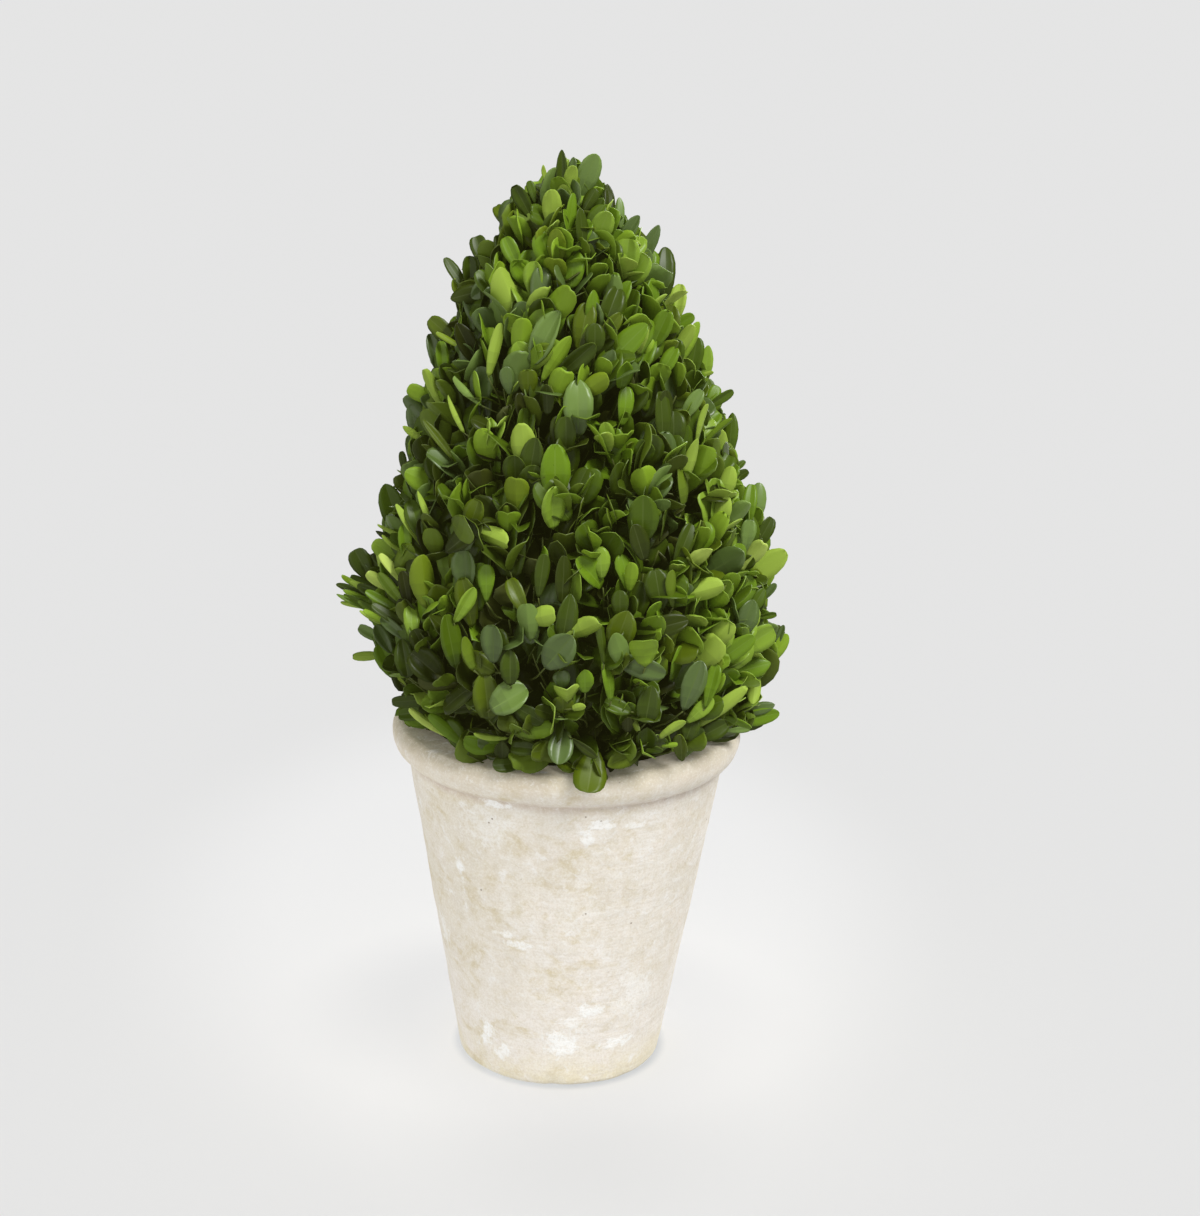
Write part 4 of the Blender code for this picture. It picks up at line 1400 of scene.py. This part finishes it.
# how common each tint is among the leaves that stand out, darkest first, by the side shown
FRONT_SHARES = {
    "top": (("dusk", 0.02), ("deep", 0.09), ("dark", 0.27), ("olive", 0.09), ("mid", 0.12), ("grey", 0.14), ("fresh", 0.16), ("soft", 0.07), ("pale", 0.05), ("lime", 0.01)),
    "under": (("deep", 0.03), ("dark", 0.04), ("mid", 0.07), ("olive", 0.08), ("grey", 0.01), ("fresh", 0.19), ("soft", 0.03), ("pale", 0.46), ("lime", 0.08)),
}


def deal_tints(centres, shown):
    """Tints for the FRONT leaves, dealt by spray: leaves near each other tend to be alike."""
    chance = np.random.default_rng(4)
    patch = np.array([1.2 * cells(p, 0.030, 21.0) for p in centres]) + chance.normal(0, 0.46, len(centres))
    names = [None] * len(centres)
    for side, shares in FRONT_SHARES.items():
        order = [i for i in np.argsort(patch) if shown[i] == side]
        edges = np.cumsum([share for name, share in shares])
        for rank, i in enumerate(order):
            spot = (rank + 0.5) / len(order) * edges[-1]
            names[i] = shares[int(np.searchsorted(edges, spot))][0]
    return names


def place_front_leaves():
    """The leaves of the FRONT list, as values for Leaves.add, with what each covers in the image."""
    toward = np.array(CAMERA_TURN @ Vector((0, 0, 1)))
    up = np.array(CAMERA_TURN @ Vector((0, 1, 0)))
    right = np.array(CAMERA_TURN @ Vector((1, 0, 0)))
    rows, placed = [], []
    centres = [outline_hit(row[0], row[1], row[-1] * 0.001 - 0.004) for row in FRONT]
    tints = deal_tints(centres, [row[5] for row in FRONT])
    for (x, y, turn, long_px, wide_px, shown, lean, roll, lift), centre, tint in zip(FRONT, centres, tints):
        depth = float(np.dot(centre - np.array(CAMERA_AT), -toward))
        scale = depth / IMAGE_FOCAL
        a = math.radians(turn)
        flat = math.cos(a) * up + math.sin(a) * right
        lean_a, roll_a = math.radians(lean + 5), math.radians(roll)
        tip = unit(math.cos(lean_a) * flat + math.sin(lean_a) * toward)
        face = unit(toward - tip * np.dot(toward, tip))
        across = np.cross(tip, face)
        face = unit(math.cos(roll_a) * face + math.sin(roll_a) * across)
        if shown == "under":
            face = -face
        shown_length = long_px * scale / max(0.5, math.cos(lean_a))
        length = shown_length * (1.22 if long_px > 26 else 1.08)
        width = wide_px * scale / max(0.5, math.cos(roll_a))
        shape = leaf_shape(1.0)
        shape.update(length=length, width=width, cup=float(random.normal(0.06, 0.18)),
                     bend=float(random.normal(0.24, 0.28)), twist=float(random.normal(0, 0.22)),
                     fold=float(abs(random.normal(0.18, 0.14))))
        origin = centre + tip * (0.5 * shown_length - length)
        rows.append(dict(origin=origin, tip=tip, face=face, tint=TINT[tint], tier=tier_of(centre), grade=0, **shape))
        placed.append((x, y, a, long_px, wide_px, depth))
    return rows, placed


STANDOUTS = 300
STANDOUT_TINTS = (
    ("dark", "top", 0.20), ("grey", "top", 0.11), ("mid", "top", 0.16), ("olive", "top", 0.10), ("deep", "top", 0.05),
    ("fresh", "top", 0.13), ("soft", "top", 0.05), ("pale", "under", 0.11), ("fresh", "under", 0.08), ("lime", "under", 0.01),
)


def stand_out(leaves):
    """Leaves like the FRONT ones all round the rest of the crown, dealt by rule."""
    golden = math.pi * (3 - math.sqrt(5))
    heights = np.linspace(0.1680, 0.3960, 300)
    area = np.cumsum([crown_radius(z) + 0.004 for z in heights])
    area = (area - area[0]) / (area[-1] - area[0])
    shares = np.cumsum([share for name, side, share in STANDOUT_TINTS])
    for i in range(STANDOUTS):
        z = float(np.interp((i + 0.5) / STANDOUTS, area, heights))
        azimuth = i * golden + float(random.normal(0, 0.08))
        # the front has its own
        if abs((azimuth + math.pi / 2 + math.pi) % math.tau - math.pi) < math.radians(72):
            continue
        level = np.array([math.cos(azimuth), math.sin(azimuth), 0.0])
        around = np.array([-level[1], level[0], 0.0])
        slope = math.radians(float(np.interp(z, (0.165, 0.190, 0.230, 0.330, 0.395), (-30, -6, 14, 24, 60))))
        outward = math.cos(slope) * level + math.sin(slope) * np.array([0.0, 0.0, 1.0])
        upward = np.cross(outward, around) * -1.0
        if upward[2] < 0:
            upward = -upward
        turn = math.radians(float(random.normal(0, 34)))
        flat = math.cos(turn) * upward + math.sin(turn) * around
        lean = math.radians(float(random.uniform(8, 38)))
        tip = unit(math.cos(lean) * flat + math.sin(lean) * outward)
        face = unit(outward - tip * np.dot(outward, tip))
        roll = float(random.normal(0, 0.48))
        face = unit(math.cos(roll) * face + math.sin(roll) * np.cross(tip, face))
        name, side, share = STANDOUT_TINTS[min(int(np.searchsorted(shares, random.random() * shares[-1])), len(shares) - 1)]
        if side == "under":
            face = -face
        shape = leaf_shape(float(random.uniform(0.82, 1.12)))
        r = crown_radius(z)
        end = np.array([r * level[0], r * level[1], z]) + outward * float(random.uniform(0.0005, 0.0040))
        end[:2] += crown_axis(z)
        leaves.add(origin=end - tip * shape["length"] * 0.75, tip=tip, face=face, tint=TINT[name],
                   tier=tier_of(end), grade=-1, **shape)


def overlap_feet(leaves, placed):
    """Leaves lower on the same shoots, whose tips overlap the feet of the FRONT ones."""
    toward = np.array(CAMERA_TURN @ Vector((0, 0, 1)))
    up = np.array(CAMERA_TURN @ Vector((0, 1, 0)))
    right = np.array(CAMERA_TURN @ Vector((1, 0, 0)))
    for x, y, a, long_px, wide_px, depth in placed:
        if long_px < 26 or wide_px < 11:
            continue
        for side in (-1, 1, 0):
            if random.random() < 0.15:
                continue
            reach = float(random.uniform(-0.32, -0.06) if side else random.uniform(-0.42, -0.26)) * long_px
            side = side or (-0.3 if random.random() < 0.5 else 0.3)
            aside = side * float(random.uniform(0.15, 0.55)) * wide_px
            b = a + side * math.radians(float(random.uniform(8, 42)))
            tip_at = (x + reach * math.sin(a) + aside * math.cos(a), y - reach * math.cos(a) + aside * math.sin(a))
            lean = math.radians(float(random.uniform(16, 38)))
            flat = math.cos(b) * up + math.sin(b) * right
            tip = unit(math.cos(lean) * flat + math.sin(lean) * toward)
            face = unit(toward - tip * np.dot(toward, tip))
            roll = float(random.normal(0, 0.5))
            face = unit(math.cos(roll) * face + math.sin(roll) * np.cross(tip, face))
            if random.random() < 0.4:
                face = -face
            end = np.array(CAMERA_AT) + pixel_ray(*tip_at) * (depth - float(random.uniform(0.0020, 0.0045)))
            shape = leaf_shape(float(random.uniform(0.74, 1.0)))
            leaves.add(origin=end - tip * shape["length"], tip=tip, face=face,
                       tint=leaf_tint(spray_tint(end), 2), tier=tier_of(end), grade=-1, **shape)


def on_blade(d, share, side=0.0):
    """Points a share of the way along each blade, bent as it is, and aside by a share of its width."""
    bend = np.where(np.abs(d["bend"]) < 1e-3, 1e-3, d["bend"])
    curve = d["length"] / bend
    onward, down = curve * np.sin(bend * share), curve * (1 - np.cos(bend * share))
    across = np.cross(d["tip"], d["face"])
    return (d["origin"] + d["tip"] * onward[:, None] - d["face"] * down[:, None]
            + across * (d["width"] * side)[:, None])


def covering(placed):
    """A test of whether a point stands in front of one of the listed leaves."""
    rows = np.array(placed)

    def test(p):
        px, py, depth = to_image(np.asarray(p))
        dx, dy = px - rows[:, 0], py - rows[:, 1]
        a = rows[:, 2]
        along = dx * np.sin(a) - dy * np.cos(a)
        across = dx * np.cos(a) + dy * np.sin(a)
        inside = (along / (0.5 * rows[:, 3])) ** 2 + (across / (0.5 * rows[:, 4] + 3)) ** 2 < 1.0
        return bool((inside & (depth < rows[:, 5] + 0.004)).any())

    return test


def clear_view(d, placed, first):
    """Which leaves to keep so that those of the FRONT list aren't covered by nearer ones."""
    keep = np.ones(len(d["tint"]), bool)
    for share, side in (
        (0.20, 0), (0.40, 0), (0.60, 0), (0.80, 0), (0.98, 0),
        (0.45, 0.36), (0.45, -0.36), (0.65, 0.42), (0.65, -0.42), (0.88, 0.28), (0.88, -0.28),
    ):
        spot = on_blade(d, share, side)
        px, py, depth = to_image(spot)
        for x, y, a, long_px, wide_px, far in placed:
            dx, dy = px - x, py - y
            along = dx * math.sin(a) - dy * math.cos(a)
            across = dx * math.cos(a) + dy * math.sin(a)
            along = along - 0.21 * long_px
            inside = (along / (0.31 * long_px)) ** 2 + (across / (0.54 * wide_px)) ** 2 < 1.0
            keep &= ~(inside & (depth < far + 0.0012))
    keep[first:] = True
    return keep


def hollow_out(d, first):
    """Which leaves to keep so that the HOLLOWS stay open."""
    keep = np.ones(len(d["tint"]), bool)
    rows = []
    for x, y, turn, half_long, half_wide in HOLLOWS:
        surface = outline_hit(x, y, 0.0)
        far = float(np.dot(surface - np.array(CAMERA_AT), np.array(CAMERA_TURN @ Vector((0, 0, -1)))))
        rows.append((x, y, math.radians(turn), half_long, half_wide, far))
    for share in (0.45, 0.70, 0.92):
        px, py, depth = to_image(on_blade(d, share))
        for x, y, a, half_long, half_wide, far in rows:
            dx, dy = px - x, py - y
            along = dx * math.sin(a) - dy * math.cos(a)
            across = dx * math.cos(a) + dy * math.sin(a)
            inside = (along / half_long) ** 2 + (across / half_wide) ** 2 < 1.0
            keep &= ~(inside & (depth < far + 0.019))
    keep[first:] = True
    return keep


# the crown's silhouette from the front: height in the image, left and right edge
SILHOUETTE = np.array((
    (152, 559, 564), (162, 556, 599), (172, 538, 597), (182, 529, 613), (192, 510, 616), (202, 497, 623),
    (212, 492, 626), (222, 495, 639), (232, 495, 656), (242, 471, 653), (252, 471, 672), (262, 447, 675),
    (272, 451, 676), (282, 452, 680), (292, 453, 684), (302, 452, 686), (312, 456, 682), (322, 428, 693),
    (332, 429, 702), (342, 425, 706), (352, 428, 712), (362, 436, 710), (372, 421, 711), (382, 424, 712),
    (392, 408, 733), (402, 407, 724), (412, 406, 731), (422, 406, 738), (432, 402, 737), (442, 406, 735),
    (452, 404, 735), (462, 399, 744), (472, 396, 747), (482, 395, 743), (492, 378, 764), (502, 377, 767),
    (512, 381, 764), (522, 381, 773), (532, 380, 771), (542, 376, 767), (552, 353, 777), (562, 350, 786),
    (572, 359, 782), (582, 348, 773), (592, 344, 769), (602, 350, 767), (612, 366, 768), (622, 373, 774),
    (632, 367, 784), (642, 376, 788), (652, 372, 785), (662, 372, 773), (672, 387, 770), (682, 399, 762),
    (692, 400, 760), (702, 391, 769), (712, 397, 774), (722, 404, 770), (740, 404, 760),
), float)


def draw_in(d, count):
    """Move leaves that would stand outside the silhouette in until they lie within it.

    Returns which of them had too far to go.
    """
    right = np.array(CAMERA_TURN @ Vector((1, 0, 0)))
    far = np.zeros(len(d["tint"]), bool)
    push = np.zeros(count)
    for share, side in ((1.0, 0.0), (0.7, 0.45), (0.7, -0.45)):
        spot = on_blade(d, share, side)[:count]
        px, py, depth = to_image(spot)
        # the listed leaves stand out past the rest, most of all near the top
        inset = np.interp(py, (150, 330, 600, 740), (8, 5, 3, 2))
        left_edge = np.interp(py, SILHOUETTE[:, 0], SILHOUETTE[:, 1]) + inset
        right_edge = np.interp(py, SILHOUETTE[:, 0], SILHOUETTE[:, 2]) - inset
        seen = py < SILHOUETTE[-1, 0]
        scale = depth / IMAGE_FOCAL
        push = np.where(seen & (px < left_edge), np.maximum(push, (left_edge - px) * scale), push)
        push = np.where(seen & (px > right_edge), np.minimum(push, (right_edge - px) * scale), push)
        far[:count] |= py < SILHOUETTE[0, 0]
    far[:count] |= np.abs(push) > 0.0075
    # those moved end unevenly, not all on the line
    push += np.sign(push) * np.abs(random.normal(0, 0.0016, count))
    d["origin"][:count] += right * push[:, None]
    return far


# and the lower edge of the foliage over the pot: across the image, then down it
HEM = np.array((
    (392, 712), (400, 717), (432, 729), (448, 736), (460, 745), (480, 753), (500, 765), (528, 765), (560, 766),
    (580, 782), (600, 782), (610, 768), (640, 756), (672, 748), (704, 741), (736, 732), (768, 723),
), float)


def below_hem(points):
    """Whether points hang lower in the image than the foliage's lower edge, where that shows."""
    px, py, depth = to_image(points)
    shows = (points[:, 1] < 0.0) | (px > 735) | (px < 400)
    return shows & (py > np.interp(px, HEM[:, 0], HEM[:, 1]) + 1.0)


def hem_floor(r):
    """Lowest height that a leaf may reach at a distance from the axis: the fill, then the rim."""
    return np.where(r > 0.0545, 0.1612 + 0.30 * np.maximum(0.0, r - 0.068), 0.1500)


def rest_on_rim(d, count):
    """Turn the tips of leaves that would sink into the rim up until they lie on it."""
    low = d["origin"][:count, 2] < 0.200
    low = np.nonzero(low)[0]
    base, tip, length = d["origin"][low], d["tip"][low], d["length"][low]
    for _ in range(4):
        end = base + tip * length[:, None]
        r = np.hypot(end[:, 0], end[:, 1])
        short = np.maximum(0.0, hem_floor(r) + 0.0006 - end[:, 2])
        tip[:, 2] += np.minimum(1.2, short / length)
        tip /= np.linalg.norm(tip, axis=1, keepdims=True)
    d["tip"][low] = tip


def main():
    materials = leaf_materials()
    by_hand, placed = place_front_leaves()
    leaves, wood, boughs, join = grow_crown(covering(placed))
    overlap_feet(leaves, placed)
    stand_out(leaves)
    marker = len(leaves.rows["tint"])
    for row in by_hand:
        leaves.add(**row)
        x0, y0 = crown_axis(row["origin"][2])
        outward = unit(np.array([row["origin"][0] - x0, row["origin"][1] - y0, 0.010]))
        heading = unit(0.7 * row["tip"] + 0.8 * outward)
        join([row["origin"] - heading * 0.008, row["origin"]], heading, row["tier"])
    d = leaves.arrays()
    rest_on_rim(d, marker)
    too_far = draw_in(d, marker)

    # grade each leaf by how deep it sits, and drop what stands too far out or in the pot's wall
    middle = d["origin"] + d["tip"] * d["length"][:, None] * 0.55
    end = d["origin"] + d["tip"] * d["length"][:, None]
    deep = np.array([depth_inside(p) for p in middle])
    out = np.array([-depth_inside(p) for p in end])
    ours = np.arange(len(deep)) >= marker
    grade = np.where(deep < 0.008, 0, np.where(deep < 0.015, 1, 2))
    d["grade"] = np.where(d["grade"] < 0, grade, np.maximum(d["grade"], 0))
    keep = (out < 0.0062 + 0.0022 * random.standard_normal(len(out)).clip(-1, 2)) & (end[:, 2] < CROWN_TOP_Z)
    for part in (middle, end):
        r = np.hypot(part[:, 0], part[:, 1])
        keep &= part[:, 2] > hem_floor(r) - 0.0012
        keep &= ~below_hem(part)
    for share in (0.6, 1.0):
        keep &= ~below_hem(on_blade(d, share))
    keep &= clear_view(d, placed, marker) & hollow_out(d, marker) & ~too_far
    keep |= ours
    d = {key: value[keep] for key, value in d.items()}

    root_finish = bark_material()
    twig_finish = [plain("bough_bark", srgb(92, 80, 58), 0.85, 0.3), plain("shoot_green", srgb(74, 83, 30), 0.6, 0.3)]
    made = []
    for index, tier in enumerate(TIERS):
        part = {key: value[d["tier"] == index] for key, value in d.items()}
        count = len(part["tint"])
        triangles = int(sum((part["grade"] == g).sum() * t for g, t in ((0, 172), (1, 104), (2, 40))))
        pieces = max(1, math.ceil(triangles / 170000))
        middle = part["origin"] + part["tip"] * part["length"][:, None] * 0.5
        turn = (np.arctan2(middle[:, 1], middle[:, 0]) + math.pi / 2) % math.tau
        group = np.minimum((turn / math.tau * pieces).astype(int), pieces - 1)
        for g in range(pieces):
            some = {key: value[group == g] for key, value in part.items()}
            name = f"leaves_{tier}" if pieces == 1 else f"leaves_{tier}_{g + 1}"
            obj = build_leaves(name, some, materials)
            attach(obj, "root")
            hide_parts(f"foliage_{tier}")
            made.append(obj)
        twigs = wood[index].build(f"twigs_{tier}", twig_finish)
        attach(twigs, "root")
        print(tier, count, "leaves", triangles, "triangles in", pieces)
    limbs = Wood()
    for path, radii in boughs:
        limbs.tube(path, radii, 7, 0)
    obj = limbs.build("boughs", [twig_finish[0]])
    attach(obj, "root")

    for obj, node, slot in (
        (make_pot(), "pot", "limewashed_terracotta"),
        (make_fill(), "potting_fill", "packed_fill"),
        (make_stem(), "stem", "bark"),
    ):
        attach(obj, "root")
        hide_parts(node)


# ------------------------------------------------------------------- the studio
def make_studio():
    scene = bpy.context.scene
    scene.view_settings.view_transform = "Standard"
    scene.view_settings.look = "None"
    # the lens's faint veil over the darkest gaps
    scene.view_settings.use_curve_mapping = True
    scene.view_settings.curve_mapping.black_level = (-0.0067, -0.0067, -0.0017)
    scene.view_settings.curve_mapping.update()

    data = bpy.data.cameras.new("camera")
    data.lens = CAMERA_LENS
    data.sensor_width = 36.0
    data.clip_start, data.clip_end = 0.05, 60.0
    camera = bpy.data.objects.new("camera", data)
    camera.matrix_world = CAMERA_MATRIX
    scene.collection.objects.link(camera)
    scene.camera = camera

    # a wide seamless floor
    mesh = bpy.data.meshes.new("floor")
    size = 30.0
    mesh.from_pydata([(-size, -size, 0), (size, -size, 0), (size, size, 0), (-size, size, 0)], [], [(0, 1, 2, 3)])
    floor = bpy.data.objects.new("floor", mesh)
    scene.collection.objects.link(floor)
    made, tree, shader = node_tree("floor_finish")
    n = Nodes(tree)

    def away(centre, radii):
        """Distance from a point of the floor, 1 on an ellipse round it."""
        shifted = n.new("ShaderNodeVectorMath", operation="SUBTRACT")
        n.link(n.place, shifted.inputs[0])
        shifted.inputs[1].default_value = (*centre, 0.0)
        flat = n.new("ShaderNodeVectorMath", operation="MULTIPLY")
        n.link(shifted.outputs["Vector"], flat.inputs[0])
        flat.inputs[1].default_value = (1.0 / radii[0], 1.0 / radii[1], 0.0)
        length = n.new("ShaderNodeVectorMath", operation="LENGTH")
        n.link(flat.outputs["Vector"], length.inputs[0])
        return length.outputs["Value"]

    # a painted pool of light lies round the pot, with painted shade in front of it and near it, and a thin painted
    # shadow line at the foot
    # painted pool of light round the pot
    colour = n.ramp(away((-0.020, 0.172), (0.235, 0.330)), (0.50, (0.877, 0.877, 0.879)), (1.12, (0.806, 0.806, 0.806)), kind="EASE")
    # painted shade in front of the foot
    front = n.ramp(away((0.010, -0.060), (0.100, 0.125)), (0.0, (0.868, 0.871, 0.877)), (1.0, (1.0, 1.0, 1.0)), kind="EASE")
    colour = n.mix(1.0, colour, front, "MULTIPLY")
    # painted shade near the pot
    close = n.ramp(away((-0.010, 0.030), (0.132, 0.112)), (0.42, (0.872, 0.878, 0.890)), (1.0, (1.0, 1.0, 1.0)), kind="EASE")
    colour = n.mix(1.0, colour, close, "MULTIPLY")
    # painted shadow: a thin dark line round the foot
    edge = n.ramp(away((0.0, 0.0), (0.100, 0.100)), (0.455, (0.80, 0.82, 0.85)), (0.505, (1.0, 1.0, 1.0)), kind="EASE")
    colour = n.mix(1.0, colour, edge, "MULTIPLY")
    n.link(colour, shader.inputs["Base Color"])
    shader.inputs["Roughness"].default_value = 1.0
    shader.inputs["Specular IOR Level"].default_value = 0.0
    mesh.materials.append(made)

    # soft light from all round
    world = bpy.data.worlds.new("studio")
    scene.world = world
    world.use_nodes = True
    background = world.node_tree.nodes["Background"]
    background.inputs["Color"].default_value = (1.0, 1.0, 1.0, 1.0)
    background.inputs["Strength"].default_value = 0.22
    # seen past the floor's edge, it is as pale as the floor
    tree = world.node_tree
    backdrop = tree.nodes.new("ShaderNodeBackground")
    backdrop.inputs["Color"].default_value = (0.783, 0.783, 0.780, 1.0)
    path = tree.nodes.new("ShaderNodeLightPath")
    either = tree.nodes.new("ShaderNodeMixShader")
    tree.links.new(path.outputs["Is Camera Ray"], either.inputs["Fac"])
    tree.links.new(background.outputs["Background"], either.inputs[1])
    tree.links.new(backdrop.outputs["Background"], either.inputs[2])
    tree.links.new(either.outputs["Shader"], tree.nodes["World Output"].inputs["Surface"])

    # wide softboxes for the plant, the pot and the floor, which stays nearly free of shadow
    kinds = {name: bpy.data.collections.new("lit_" + name) for name in ("plant", "pot", "floor")}
    for obj in scene.collection.all_objects:
        if obj.type == "MESH":
            kinds[{"pot_limewashed": "pot", "floor": "floor"}.get(obj.name, "plant")].objects.link(obj)
    for name, power, wide, way, lit in (
        ("key", 4.46, 20, (-0.52, 0.50, -1.05), "plant"),
        ("fill", 1.00, 60, (0.62, 0.76, -0.30), "plant"),
        ("back", 4.30, 60, (-0.32, -0.92, -0.22), "plant"),
        ("pot_key", 2.78, 34, (-0.55, 0.52, -1.00), "pot"),
        ("pot_fill", 1.27, 70, (0.72, 0.66, -0.34), "pot"),
        ("pot_back", 1.60, 60, (-0.32, -0.92, -0.22), "pot"),
        ("floor_light", 2.350, 60, (0.0, 0.0, -1.0), "floor"),
    ):
        data = bpy.data.lights.new(name, "SUN")
        data.energy = power
        data.angle = math.radians(wide)
        obj = bpy.data.objects.new(name, data)
        obj.rotation_euler = Vector(way).to_track_quat("-Z", "Y").to_euler()
        scene.collection.objects.link(obj)
        obj.light_linking.receiver_collection = kinds[lit]
        if name in ("floor_light", "pot_fill", "pot_back"):
            obj.light_linking.blocker_collection = kinds[lit]


main()
make_studio()
